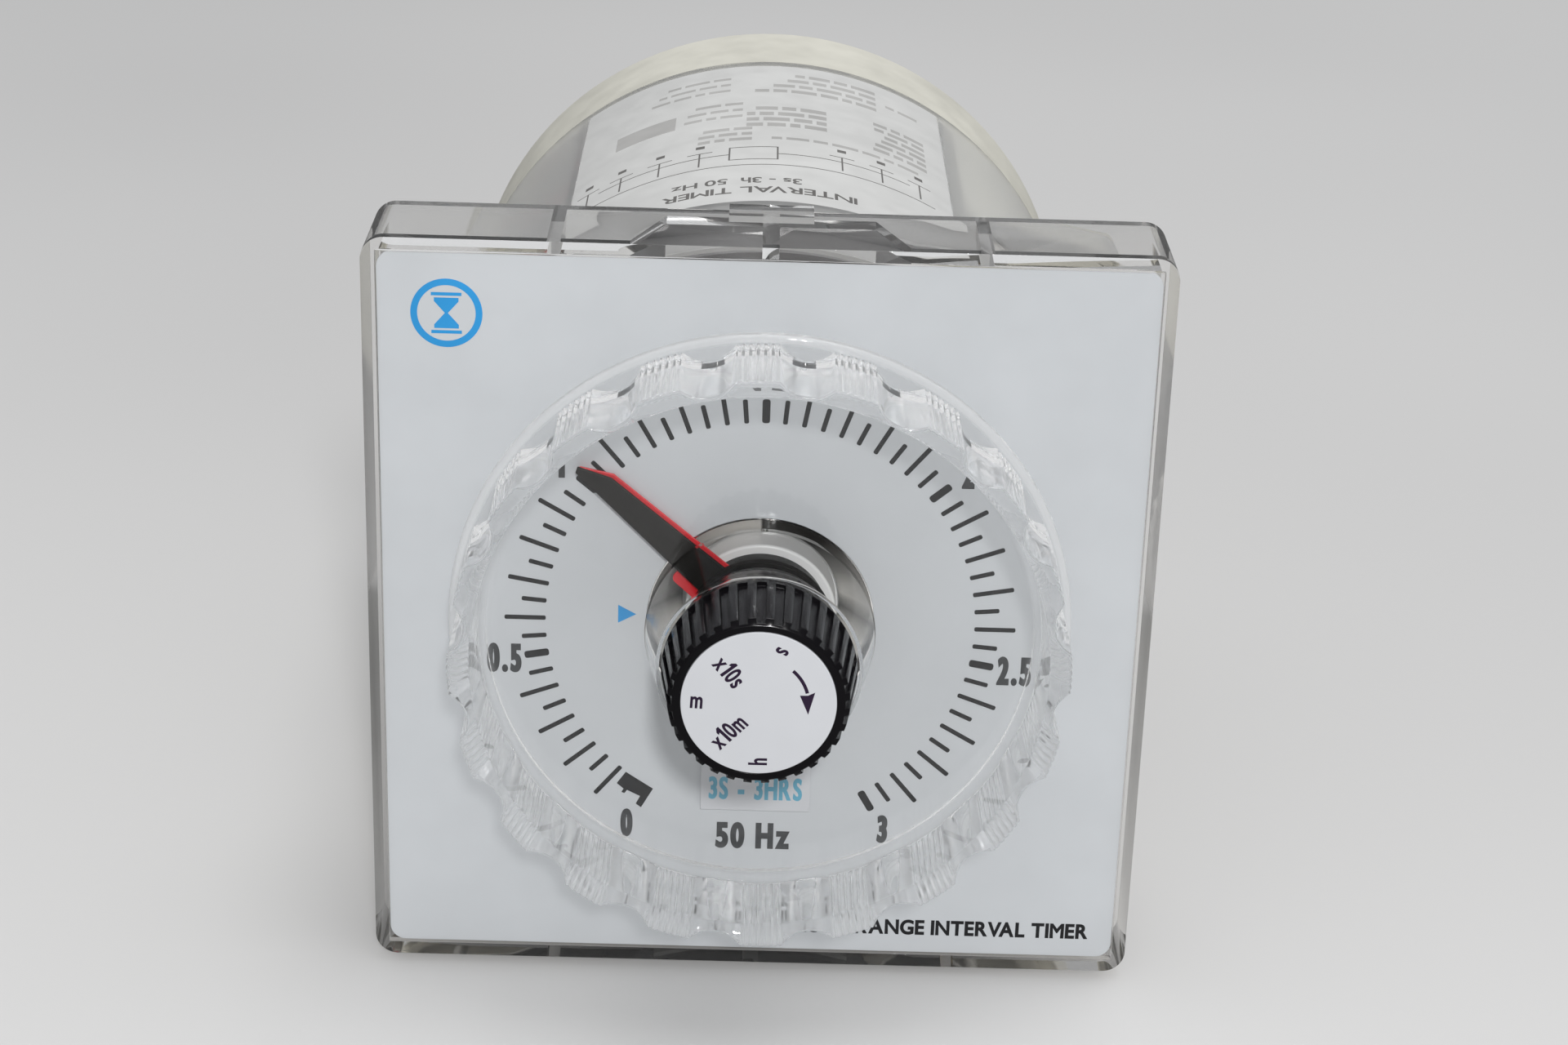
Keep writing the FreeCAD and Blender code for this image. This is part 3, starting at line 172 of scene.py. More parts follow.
def rounded_copy(node, bevel):
    """A copy of a CAD node's mesh with its flat faces joined and its sharp edges rounded."""
    work = bmesh.new()
    work.from_mesh(nodes[node].data)
    bmesh.ops.remove_doubles(work, verts=work.verts, dist=1e-6)
    bmesh.ops.dissolve_limit(work, angle_limit=math.radians(FLAT_ANGLE), verts=work.verts,
                             edges=work.edges)
    mesh = mesh_from(node + "_look", work)
    shade_smooth(mesh, EDGE_ANGLE)
    holder = bpy.data.objects.new("holder", mesh)
    bpy.context.scene.collection.objects.link(holder)
    rounding = holder.modifiers.new("rounding", "BEVEL")
    rounding.width = bevel
    rounding.segments = 2
    rounding.limit_method = "ANGLE"
    rounding.angle_limit = math.radians(EDGE_ANGLE)
    rounding.use_clamp_overlap = True
    rounding.harden_normals = True
    evaluated = holder.evaluated_get(bpy.context.evaluated_depsgraph_get())
    mesh = bpy.data.meshes.new_from_object(evaluated)
    bpy.data.objects.remove(holder)
    return mesh


# ---------------------------------------------------------------- materials

def shader(name, color, roughness, metallic=0.0, **sockets):
    """A material with a principled surface; sockets are named with _ for each blank."""
    material = bpy.data.materials.new(name)
    material.use_nodes = True
    bsdf = material.node_tree.nodes["Principled BSDF"]
    bsdf.inputs["Base Color"].default_value = (*color, 1.0)
    bsdf.inputs["Roughness"].default_value = roughness
    bsdf.inputs["Metallic"].default_value = metallic
    for socket, value in sockets.items():
        bsdf.inputs[socket.replace("_", " ")].default_value = value
    return material


def add(material, kind, **inputs):
    node = material.node_tree.nodes.new(kind)
    for socket, value in inputs.items():
        node.inputs[socket].default_value = value
    return node


def link(material, start, end):
    material.node_tree.links.new(start, end)


def noise_of(material, scale, detail, stretch):
    """Noise in object space, stretched along the axes given."""
    place = add(material, "ShaderNodeTexCoord")
    mapping = add(material, "ShaderNodeMapping", Scale=stretch)
    texture = add(material, "ShaderNodeTexNoise", Scale=scale, Detail=detail)
    link(material, place.outputs["Object"], mapping.inputs["Vector"])
    link(material, mapping.outputs["Vector"], texture.inputs["Vector"])
    return texture


def vary(material, scale, low, high, stretch=(1, 1, 1), detail=3.0):
    """Noise between two values drives the roughness."""
    texture = noise_of(material, scale, detail, stretch)
    spread = add(material, "ShaderNodeMapRange", **{"To Min": low, "To Max": high})
    spread.inputs["From Min"].default_value = 0.3
    spread.inputs["From Max"].default_value = 0.7
    link(material, texture.outputs["Fac"], spread.inputs["Value"])
    bsdf = material.node_tree.nodes["Principled BSDF"]
    link(material, spread.outputs["Result"], bsdf.inputs["Roughness"])


def tint(material, scale, dark, light, stretch=(1, 1, 1), detail=3.0):
    """Noise between two colours drives the base colour."""
    texture = noise_of(material, scale, detail, stretch)
    ramp = add(material, "ShaderNodeValToRGB")
    for element, position, color in zip(ramp.color_ramp.elements, (0.35, 0.65), (dark, light)):
        element.position = position
        element.color = (*color, 1.0)
    link(material, texture.outputs["Fac"], ramp.inputs["Fac"])
    bsdf = material.node_tree.nodes["Principled BSDF"]
    link(material, ramp.outputs["Color"], bsdf.inputs["Base Color"])


def relief(material, scale, distance, strength=0.3, stretch=(1, 1, 1)):
    """Fine bump from noise."""
    texture = noise_of(material, scale, 2.0, stretch)
    bump = add(material, "ShaderNodeBump", Strength=strength, Distance=distance)
    link(material, texture.outputs["Fac"], bump.inputs["Height"])
    bsdf = material.node_tree.nodes["Principled BSDF"]
    link(material, bump.outputs["Normal"], bsdf.inputs["Normal"])


def scaled(color, factor):
    return tuple(min(channel * factor, 1.0) for channel in color)


def solid_colour(name, color, roughness, grain=900.0, depth=0.01 * MM, spread=0.08, **sockets):
    """A plastic or painted surface: slight tone changes, uneven gloss and fine grain."""
    material = shader(name, color, roughness, **sockets)
    tint(material, 60.0, scaled(color, 1.0 - spread), scaled(color, 1.0 + spread))
    vary(material, 240.0, roughness * 0.85, min(roughness * 1.2, 1.0))
    relief(material, grain, depth)
    return material


def maths(material, operation, *inputs):
    """A math node fed by sockets or numbers; returns its output."""
    node = add(material, "ShaderNodeMath")
    node.operation = operation
    for place, value in zip(node.inputs, inputs):
        if isinstance(value, bpy.types.NodeSocket):
            link(material, value, place)
        else:
            place.default_value = value
    return node.outputs["Value"]


def distance_from_axis(material):
    """Distance of a point from the Y axis, round which the dial turns."""
    place = add(material, "ShaderNodeTexCoord")
    flat = add(material, "ShaderNodeVectorMath")
    flat.operation = "MULTIPLY"
    flat.inputs[1].default_value = (1, 0, 1)
    length = add(material, "ShaderNodeVectorMath")
    length.operation = "LENGTH"
    link(material, place.outputs["Object"], flat.inputs[0])
    link(material, flat.outputs["Vector"], length.inputs[0])
    return length.outputs["Value"]


def mixed(material, share, first, second):
    """Two shaders mixed; a share of one gives the second alone."""
    mix = add(material, "ShaderNodeMixShader")
    link(material, share, mix.inputs["Fac"])
    link(material, first, mix.inputs[1])
    link(material, second, mix.inputs[2])
    return mix.outputs["Shader"]


def by_distance(material, bands):
    """A level that changes with the distance from the axis; bands are (distance, level)."""
    span = bands[-1][0]
    ramp = add(material, "ShaderNodeValToRGB")
    while len(ramp.color_ramp.elements) < len(bands):
        ramp.color_ramp.elements.new(0.5)
    for element, (radius, level) in zip(ramp.color_ramp.elements, bands):
        element.position = radius / span
        element.color = (level, level, level, 1.0)
    link(material, maths(material, "DIVIDE", distance_from_axis(material), span), ramp.inputs["Fac"])
    return ramp.outputs["Color"]


HAZE_COLOR = (0.9, 0.905, 0.91, 1.0)


def hazy(material, surface, bands):
    """Adds scattered white to a clear surface; bands give its share by distance from the axis."""
    front = add(material, "ShaderNodeBsdfDiffuse", Color=HAZE_COLOR)
    rear = add(material, "ShaderNodeBsdfTranslucent", Color=HAZE_COLOR)
    white = add(material, "ShaderNodeMixShader", Fac=0.5)
    link(material, front.outputs["BSDF"], white.inputs[1])
    link(material, rear.outputs["BSDF"], white.inputs[2])
    return mixed(material, by_distance(material, bands), surface, white.outputs["Shader"])


def even(share):
    """Bands with the same level at every distance from the axis."""
    return (0.0, share), (80.0 * MM, share)


LONGEST_PATH = 3.5


def clear(name, color, shade, roughness=0.02, ior=1.49, marks=0.02, haze=None, shadow=None):
    """Clear plastic that bends what is seen through it.

    Shadow and diffuse rays, and rays of more bounces than LONGEST_PATH, go straight through it, and each
    surface passes the share called shade. haze gives scattered white by distance from the axis, and shadow
    what the shadow rays keep.
    """
    material = shader(name, color, roughness, Transmission_Weight=1.0, IOR=ior)
    vary(material, 90.0, roughness, roughness + marks, detail=6.0)
    tree = material.node_tree
    surface = tree.nodes["Principled BSDF"].outputs["BSDF"]
    if haze:
        surface = hazy(material, surface, haze)
    through = add(material, "ShaderNodeBsdfTransparent", Color=(*scaled(color, shade), 1.0))
    path = add(material, "ShaderNodeLightPath")
    passed = through.outputs["BSDF"]
    if shadow:
        shadowed = add(material, "ShaderNodeBsdfTransparent")
        link(material, by_distance(material, shadow), shadowed.inputs["Color"])
        passed = mixed(material, path.outputs["Is Shadow Ray"], passed, shadowed.outputs["BSDF"])
    straight = maths(material, "MAXIMUM", path.outputs["Is Shadow Ray"], path.outputs["Is Diffuse Ray"])
    trapped = maths(material, "GREATER_THAN", path.outputs["Ray Depth"], LONGEST_PATH)
    share = maths(material, "MAXIMUM", straight, trapped)
    finished = mixed(material, share, surface, passed)
    link(material, finished, tree.nodes["Material Output"].inputs["Surface"])
    return material


def brushed(name, color, roughness=0.3, stretch=(1, 12, 1)):
    """Metal with tone and gloss drawn out in one direction."""
    material = shader(name, color, roughness, 1.0)
    tint(material, 160.0, scaled(color, 0.82), scaled(color, 1.06), stretch)
    vary(material, 320.0, roughness * 0.7, roughness * 1.4, stretch=stretch)
    relief(material, 900.0, 0.01 * MM, 0.25, stretch)
    return material


def polished(name, painted_reflection_levels):
    """Mirror finish that mirrors its surroundings, with a painted reflection in its colour: light and dark
    levels by clock angle stand in for what it would mirror. The pairs given are clock angle and level, from
    -180 to 180.
    """
    material = shader(name, (0.72, 0.71, 0.69), 0.12, 1.0)
    vary(material, 400.0, 0.07, 0.18)
    place = add(material, "ShaderNodeTexCoord")
    parts = add(material, "ShaderNodeSeparateXYZ")
    link(material, place.outputs["Object"], parts.inputs["Vector"])
    turn = maths(material, "ARCTAN2", parts.outputs["X"], parts.outputs["Z"])
    share = maths(material, "ADD", maths(material, "DIVIDE", turn, 2 * math.pi), 0.5)
    ramp = add(material, "ShaderNodeValToRGB")
    while len(ramp.color_ramp.elements) < len(painted_reflection_levels):
        ramp.color_ramp.elements.new(0.5)
    for element, (clock, level) in zip(ramp.color_ramp.elements, painted_reflection_levels):
        element.position = (clock + 180) / 360
        element.color = (level, level * 0.985, level * 0.96, 1.0)
    link(material, share, ramp.inputs["Fac"])
    bsdf = material.node_tree.nodes["Principled BSDF"]
    link(material, ramp.outputs["Color"], bsdf.inputs["Base Color"])
    link(material, ramp.outputs["Color"], bsdf.inputs["Specular Tint"])
    return material


def printed(name, color, roughness=0.5):
    """Ink: fine grain, little gloss."""
    return solid_colour(name, color, roughness, 1500.0, 0.004 * MM, Specular_IOR_Level=0.25)


smoked = clear("smoked_plastic", (0.935, 0.926, 0.915), 0.91, haze=even(0.03))
acrylic = clear("clear_acrylic", (0.99, 0.992, 0.992), 0.94, roughness=0.01,
                haze=((0.0, 0.0), (32.5 * MM, 0.0), (33.8 * MM, 0.1), (36.8 * MM, 0.07), (37.2 * MM, 0.5),
                      (38.5 * MM, 0.6)),
                shadow=((0.0, 0.94), (33.2 * MM, 0.94), (34.2 * MM, 0.78), (38.5 * MM, 0.84)))
collar_clear = clear("collar_acrylic", (0.99, 0.992, 0.992), 0.97, roughness=0.01, ior=1.1)
case_clear = clear("case_plastic", (0.95, 0.945, 0.93), 0.94, roughness=0.06, marks=0.05,
                   haze=even(0.42))
plate_paint = solid_colour("plate_paint", (0.575, 0.595, 0.615), 0.42, 2600.0, 0.012 * MM, 0.025)
scale_ink = printed("scale_ink", (0.006, 0.006, 0.007))
number_ink = printed("number_ink", (0.045, 0.047, 0.05))
title_ink = printed("title_ink", (0.02, 0.02, 0.022))
blue_ink = printed("blue_ink", (0.03, 0.30, 0.66), 0.45)
pale_blue_ink = printed("pale_blue_ink", (0.12, 0.38, 0.52), 0.45)
cap_ink = printed("cap_ink", (0.025, 0.012, 0.035), 0.45)
label_ink = printed("label_ink", (0.16, 0.155, 0.15), 0.6)
faint_ink = printed("faint_ink", (0.42, 0.415, 0.405), 0.6)
black_plastic = solid_colour("black_plastic", (0.007, 0.006, 0.005), 0.6, 1800.0, 0.02 * MM, 0.2,
                             Specular_IOR_Level=0.15)
gloss_black = solid_colour("gloss_black", (0.005, 0.0045, 0.0055), 0.2, 700.0, 0.004 * MM,
                           Specular_IOR_Level=0.35)
pointer_red = solid_colour("pointer_red", (0.72, 0.02, 0.03), 0.35, 1200.0, 0.006 * MM)
white_print = solid_colour("white_print", (0.60, 0.61, 0.635), 0.5, 2000.0, 0.006 * MM, 0.02)
white_acetal = solid_colour("white_acetal", (0.95, 0.95, 0.94), 0.35, 900.0, 0.006 * MM, 0.03)
paper = solid_colour("label_paper", (0.62, 0.62, 0.61), 0.55, 1400.0, 0.01 * MM, 0.03)
cream = solid_colour("cream_plastic", (0.70, 0.685, 0.61), 0.42, 700.0, 0.02 * MM, 0.05)
grey_plastic = solid_colour("grey_plastic", (0.16, 0.16, 0.165), 0.5, 800.0, 0.02 * MM, 0.1)
# Painted reflection for the funnel: light and dark levels by clock angle, with a sharp step at the top,
# stand in for what the polished cone mirrors.
funnel_painted_reflection = ((-180, 0.9), (-100, 0.9), (-84, 0.3), (-74, 0.65), (-50, 0.75), (-1, 0.9), (0, 0.18),
                (35, 0.2), (62, 0.5), (80, 0.95), (90, 0.35), (102, 0.9), (180, 0.9))
chrome_painted_reflection = polished("polished_metal", funnel_painted_reflection)
hub_black = solid_colour("hub_black", (0.004, 0.004, 0.004), 0.28, 700.0, 0.004 * MM,
                         Specular_IOR_Level=0.12)
steel = brushed("steel", (0.52, 0.52, 0.51))
brass = brushed("brass", (0.62, 0.46, 0.20), 0.25, (1, 1, 1))
copper = brushed("copper_winding", (0.36, 0.12, 0.05), 0.35, (1, 60, 1))
lining_brown = solid_colour("clutch_lining", (0.10, 0.06, 0.04), 0.9, 500.0, 0.05 * MM, 0.2)
wire_red = solid_colour("wire_red", (0.55, 0.03, 0.03), 0.4)
wire_blue = solid_colour("wire_blue", (0.04, 0.09, 0.32), 0.4)

finish_of = {
    "scale_paint": plate_paint, "white_print": white_print, "polished_metal": chrome_painted_reflection,
    "smoked_clear": smoked, "clear_acrylic": acrylic, "black_plastic": black_plastic,
    "black_gloss": gloss_black, "red_plastic": pointer_red, "white_acetal": white_acetal,
    "steel": steel, "brass": brass, "grey_moulding": grey_plastic, "cream_moulding": cream,
    "label_paper": paper, "copper_winding": copper, "lining": lining_brown,
    "red_wire": wire_red, "blue_wire": wire_blue,
}
for name, node in nodes.items():
    for place in node.material_slots:
        place.material = finish_of[slot_of[name]]
for place in nodes["case"].material_slots:
    place.material = case_clear


# ---------------------------------------------------------------- sizes read from the frame

plate_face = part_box("scale_plate")[0].y
dial_low, dial_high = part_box("setting_dial")
cap_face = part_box("range_cap")[0].y + INK_DEPTH
cap_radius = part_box("range_cap")[1].x
label_low, label_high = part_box("rating_label")
label_radius = label_high.z
REST_CLOCK = -46.8  # the setting shown


# ---------------------------------------------------------------- clear setting dial

SCALLOPS = 20
SCALLOP_STEP = 360.0 / SCALLOPS
FLUTES = 6
FLUTE_PITCH = 1.35
FLUTE_DEPTH = 0.32 * MM
FRONT_FLUTING = 0.35  # share of the flutes' depth on the rounded front edge
disc_front = dial_high.y - 3.1 * MM
dial_front = dial_low.y
flange_radius = dial_high.x
crest_radius = flange_radius - 1.0 * MM
trough_radius = crest_radius - 1.7 * MM
cutter_radius = 4.0 * MM


def grip_radius(clock, fluting):
    """Outer radius of the grip: rounded scallops, with fine flutes on the crests between them.

    fluting is the share of the flutes' full depth.
    """
    from_trough = (clock - REST_CLOCK + SCALLOP_STEP / 2) % SCALLOP_STEP - SCALLOP_STEP / 2
    from_crest = SCALLOP_STEP / 2 - abs(from_trough)
    centre = trough_radius + cutter_radius
    across = centre * math.sin(math.radians(from_trough))
    cut = crest_radius + 4 * MM
    if abs(across) < cutter_radius:
        cut = centre * math.cos(math.radians(from_trough)) - math.sqrt(cutter_radius ** 2 - across ** 2)
    blend = 0.45 * MM
    share = max(blend - abs(cut - crest_radius), 0.0) / blend
    radius = min(cut, crest_radius) - share * share * blend / 4
    if from_crest < FLUTE_PITCH * FLUTES / 2:
        wave = 0.5 - 0.5 * math.cos(2 * math.pi * from_crest / FLUTE_PITCH)
        radius -= FLUTE_DEPTH * fluting * wave ** 2
    return radius


def dial_clocks():
    """Fine steps on the fluted crests, wide steps in the troughs."""
    per_flute, per_trough = 8, 14
    fluted = FLUTE_PITCH * FLUTES / 2
    fine, wide = FLUTE_PITCH / per_flute, (SCALLOP_STEP - 2 * fluted) / per_trough
    one = [-fluted + fine * step for step in range(per_flute * FLUTES)]
    one += [fluted + wide * step for step in range(per_trough)]
    start = REST_CLOCK - SCALLOP_STEP / 2
    return [start + SCALLOP_STEP * crest + offset for crest in range(SCALLOPS) for offset in one]


def make_dial():
    """Bowl and grip of the clear dial; the front of the rim is bevelled inwards."""
    disc_rear = dial_high.y - 0.8 * MM
    flange_rear, flange_front = dial_high.y, dial_high.y - 1.6 * MM
    inner = crest_radius - 2.75 * MM
    bevel_outer, bevel_depth = crest_radius - 1.45 * MM, 1.3 * MM
    step_radius = inner - 0.8 * MM
    bore = 7.6 * MM
    edge = 0.3 * MM
    rows = 4
    rear = rounded([(bore, disc_rear), (step_radius, disc_rear), (step_radius, flange_rear),
                    (flange_radius, flange_rear), (flange_radius, flange_front),
                    (crest_radius, flange_front), (crest_radius, dial_front)],
                   {3: 0.4 * MM, 4: 0.5 * MM})[:-1]
    first_grip = len(rear) - 1
    grip, insets = [rear.pop()], [0.0]
    for row in range(rows + 1):
        angle = math.pi / 2 * row / rows
        insets.append(edge * (1 - math.cos(angle)))
        grip.append((crest_radius, dial_front + edge * (1 - math.sin(angle))))
    bowl = [(bevel_outer, dial_front), (inner + 0.2 * MM, dial_front + bevel_depth),
            (inner - 0.1 * MM, disc_front), (bore, disc_front)]
    bowl = rounded(bowl + [(bore, disc_rear)], {1: 0.5 * MM, 2: 0.25 * MM})[:-1]

    def shape(index, radius, clock):
        row = index - first_grip
        if 0 <= row < len(grip):
            return grip_radius(clock, 1.0 if row == 0 else FRONT_FLUTING) - insets[row]
        if radius > bevel_outer - 0.1 * MM and index > first_grip:
            return min(radius, grip_radius(clock, FRONT_FLUTING) - edge * 1.1)
        return radius

    mesh = turned("dial_clear", rear + grip + bowl, dial_clocks(), shape)
    new_piece("dial_clear", mesh, "setting_dial", acrylic, smooth=50.0)


def make_collar():
    """Thin clear wall round the hub, on the disc of the dial."""
    front = dial_front + 1.2 * MM
    foot, rim, wall = 14.05 * MM, 12.3 * MM, 0.45 * MM
    outline = [(foot, disc_front), (rim, front), (rim - wall, front), (foot - wall, disc_front)]
    mesh = turned("collar_clear", rounded(outline, {1: 0.2 * MM, 2: 0.2 * MM}), even_clocks(240))
    new_piece("collar_clear", mesh, "setting_dial", collar_clear, smooth=50.0, stands_for=False)


# ---------------------------------------------------------------- turned and bevelled pieces

def make_funnel():
    """Polished cone round the white drum; its colour carries a painted reflection."""
    low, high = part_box("hub_funnel")
    wide, narrow = high.x - 0.2 * MM, 9.7 * MM
    skin = 0.55 * MM
    outline = [(wide, low.y), (narrow, high.y), (narrow + 2.6 * MM, high.y),
               (narrow + 2.6 * MM, high.y - skin), (narrow + 2 * skin, high.y - skin),
               (high.x, low.y + 0.9 * MM), (high.x, low.y)]
    mesh = turned("funnel_cone", rounded(outline, {0: 0.08 * MM}), even_clocks(240))
    new_piece("funnel_cone", mesh, "hub_funnel", chrome_painted_reflection)


def make_drum():
    """White drum with the black ring on its front that carries the red pointer."""
    low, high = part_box("elapsed_drum")
    bore, ring, drum, disc = 5.06 * MM, 8.2 * MM, 9.3 * MM, 19.2 * MM
    drum_front, disc_front = low.y + 2.7 * MM, high.y - 1.5 * MM
    outline = [(bore, drum_front), (drum, drum_front), (drum, disc_front), (disc, disc_front),
               (disc, high.y), (bore, high.y)]
    mesh = turned("drum_white", rounded(outline, {1: 0.35 * MM}), even_clocks(180))
    new_piece("drum_white", mesh, "elapsed_drum", white_acetal)
    outline = [(bore, low.y), (ring, low.y), (ring, drum_front), (bore, drum_front)]
    mesh = turned("drum_ring", rounded(outline, {1: 0.15 * MM}), even_clocks(180))
    new_piece("drum_ring", mesh, "elapsed_drum", hub_black)
    work = bmesh.new()
    made = bmesh.ops.create_cube(work, size=1.0)
    peg_size = Vector((high.x - disc + 0.5 * MM, high.y - disc_front, 1.6 * MM))
    centre = Vector((high.x - peg_size.x / 2, (high.y + disc_front) / 2, 0))
    for vert in made["verts"]:
        vert.co = Vector(a * b for a, b in zip(vert.co, peg_size)) + centre
    new_piece("drum_peg", mesh_from("drum_peg", work), "elapsed_drum", white_acetal)


def make_cap():
    """White disc on the knob, turned round a hole too small to see."""
    rear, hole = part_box("range_cap")[1].y, 0.02 * MM
    outline = [(hole, cap_face), (cap_radius, cap_face), (cap_radius, rear), (hole, rear)]
    mesh = turned("cap_disc", rounded(outline, {1: 0.12 * MM}), even_clocks(160))
    new_piece("cap_disc", mesh, "range_cap", white_print)


def make_case():
    """Clear cover of the movement."""
    edge = 0.3 * MM
    new_piece("case_clear", rounded_copy("case", edge), "case", case_clear, smooth=None)


bevelled = {
    "front_bezel": (smoked, 0.25), "scale_plate": (plate_paint, 0.08), "range_plate": (white_print, 0.06),
    "set_pointer": (black_plastic, 0.10), "hub_cap": (hub_black, 0.12),
    "elapsed_pointer": (pointer_red, 0.06), "range_knob": (gloss_black, 0.10),
}


def make_bevelled():
    """Copies of the solids whose own form is fine enough, with their edges rounded."""
    for node, (material, width) in bevelled.items():
        new_piece(node + "_edged", rounded_copy(node, width * MM), node, material, smooth=None)


make_dial()
make_collar()
make_funnel()
make_drum()
make_cap()
make_case()
make_bevelled()


# ---------------------------------------------------------------- printing

def flat_prisms(name, outlines, face, like, material):
    """Thin printed shapes, given as outlines of (x, z), that stand on a face towards -Y."""
    work = bmesh.new()
    for outline in outlines:
        front = [work.verts.new((x, face - INK_DEPTH, z)) for x, z in outline]
        rear = [work.verts.new((x, face, z)) for x, z in outline]
        work.faces.new(front)
        work.faces.new(rear[::-1])
        count = len(outline)
        for index in range(count):
            following = (index + 1) % count
            work.faces.new([front[index], rear[index], rear[following], front[following]])
    return new_piece(name, mesh_from(name, work), like, material, stands_for=False)


def stroke(start, end, width):
    """Outline of a straight line with rounded ends."""
    start, end = Vector(start), Vector(end)
    along = (end - start).normalized()
    round_end = min(width * 0.35, (end - start).length / 2)
    outline = []
    for centre, sign in ((end, 1), (start, -1)):
        for side in (1, -1):
            corner = centre - along * sign * round_end
            aside = Vector((-along.y, along.x)) * sign * side
            base = corner + aside * (width / 2 - round_end)
            for step in range(ARC_STEPS + 1):
                angle = math.pi / 2 * step / ARC_STEPS
                if side < 0:
                    angle = math.pi / 2 - angle
                bend = aside * math.cos(angle) + along * sign * math.sin(angle)
                outline.append(base + bend * round_end)
    return [tuple(point) for point in outline]


def on_clock(radius, clock):
    """A point (x, z) at a radius in millimetres and a clock angle."""
    point = clock_point(radius * MM, clock)
    return point.x, point.z


CAPITAL = 0.73  # height of a capital; the sizes below are in the same unit
LETTER_GAP = 0.05
WORD_GAP = 0.24
CLOSER = {"RV": 0.05, "VA": 0.17, "LT": 0.08}  # pairs whose slanting sides leave a wide gap
DIGIT_ONE = ((0.18, 0.0), (0.31, 0.0), (0.31, CAPITAL), (0.20, CAPITAL), (0.04, 0.60), (0.04, 0.51),
             (0.18, 0.56))


def glyph_loops(letter):
    """Outlines of one letter with a capital height of CAPITAL; outer ones run counter-clockwise."""
    if letter == "1":
        return [[Vector((x, y, 0)) for x, y in DIGIT_ONE]]
    curve = bpy.data.curves.new("letter", "FONT")
    curve.body = letter
    holder = bpy.data.objects.new("letter", curve)
    bpy.context.scene.collection.objects.link(holder)
    depsgraph = bpy.context.evaluated_depsgraph_get()
    outline = holder.evaluated_get(depsgraph).to_curve(depsgraph)
    loops = []
    for spline in outline.splines:
        points = list(spline.bezier_points)
        loop = []
        for one, two in zip(points, points[1:] + points[:1]):
            chord = (two.co - one.co).normalized()
            bow = (one.handle_right - one.co).cross(chord).length
            bow += (two.handle_left - two.co).cross(chord).length
            steps = 7 if bow > 0.002 else 2
            arc = interpolate_bezier(one.co, one.handle_right, two.handle_left, two.co, steps)
            loop += [Vector((point[0], point[1], 0)) for point in arc[:-1]]
        loops.append(without_doubles(loop))
    bpy.data.objects.remove(holder)
    return loops


def without_doubles(loop, least=0.002):
    """The loop without points closer together than the least distance."""
    kept = []
    for point in loop:
        if not kept or (point - kept[-1]).length > least:
            kept.append(point)
    if (kept[0] - kept[-1]).length < least:
        kept.pop()
    return kept


def heavier(loop, weight):
    """The outline moved outwards by a width, with its corners kept."""
    moved = []
    for index, point in enumerate(loop):
        before = (point - loop[index - 1]).normalized()
        after = (loop[(index + 1) % len(loop)] - point).normalized()
        side = Vector((before.y, -before.x, 0))
        middle = side + Vector((after.y, -after.x, 0))
        middle = middle.normalized() if middle.length > 0.3 else side
        moved.append(point + middle * weight / max(middle.dot(side), 0.6))
    for index in range(-1, len(loop) - 1):
        if (moved[index + 1] - moved[index]).dot(loop[index + 1] - loop[index]) < 0:
            moved[index] = moved[index + 1] = (moved[index] + moved[index + 1]) / 2
    return without_doubles(moved, 1e-5)


def turns_left(loop):
    """Whether a loop runs counter-clockwise."""
    return sum(one.x * two.y - one.y * two.x for one, two in zip(loop, loop[1:] + loop[:1])) > 0


def letter_mesh(name, words, height, narrow, weight):
    """Flat condensed lettering in X and Y, centred, with its face up and INK_DEPTH thick."""
    work = bmesh.new()
    unit = height / (CAPITAL + 2 * weight)
    start = 0.0
    for previous, letter in zip(" " + words, words):
        if letter == " ":
            start += WORD_GAP
            continue
        start -= CLOSER.get(previous + letter, 0.0)
        loops = [[Vector((point.x * narrow, point.y, 0)) for point in loop] for loop in glyph_loops(letter)]
        loops = [heavier(loop, weight) for loop in loops]
        left = min(point.x for loop in loops for point in loop)
        right = max(point.x for loop in loops for point in loop)
        shift = Vector((start - left, -CAPITAL / 2, 0))
        start += right - left + LETTER_GAP
        outer = [loop for loop in loops if turns_left(loop)]
        for solid in outer:
            inside = [loop for loop in loops if loop not in outer and encloses(solid, loop)]
            add_prism(work, [solid] + inside, shift, unit)
    middle = Matrix.Translation((-(start - LETTER_GAP) / 2 * unit, 0, 0))
    bmesh.ops.transform(work, matrix=middle, verts=work.verts)
    return mesh_from(name, work)


def encloses(solid, loop):
    """Whether one loop's bounds lie round those of another."""
    spans = [(min(point[axis] for point in edge), max(point[axis] for point in edge))
             for axis in (0, 1) for edge in (solid, loop)]
    return spans[0][0] < spans[1][0] < spans[0][1] and spans[2][0] < spans[3][0] < spans[2][1]


def add_prism(work, loops, shift, unit):
    """A flat plate INK_DEPTH thick with the first loop as its edge and the others as holes."""
    front, rear = [], []
    for loop in loops:
        for point in loop:
            place = (point + shift) * unit
            front.append(work.verts.new((place.x, place.y, INK_DEPTH / 2)))
            rear.append(work.verts.new((place.x, place.y, -INK_DEPTH / 2)))
    for corners in tessellate_polygon(loops):
        work.faces.new([front[corner] for corner in corners])
        work.faces.new([rear[corner] for corner in reversed(corners)])
    first = 0
    for loop in loops:
        count = len(loop)
        for index in range(count):
            here, there = first + index, first + (index + 1) % count
            work.faces.new([front[here], rear[here], rear[there], front[there]])
        first += count


def lettering(name, words, height, centre, face, like, material, narrow, weight, turn=0.0):
    """Print on a face towards -Y; height is that of a capital, turn is counter-clockwise."""
    mesh = letter_mesh(name, words, height, narrow, weight)
    upright = Matrix.Rotation(math.radians(90), 4, "X")
    spin = Matrix.Rotation(math.radians(-turn), 4, "Y")
    place = Matrix.Translation((centre[0], face - INK_DEPTH / 2, centre[1]))
    mesh.transform(place @ spin @ upright)
    return new_piece(name, mesh, like, material, stands_for=False)


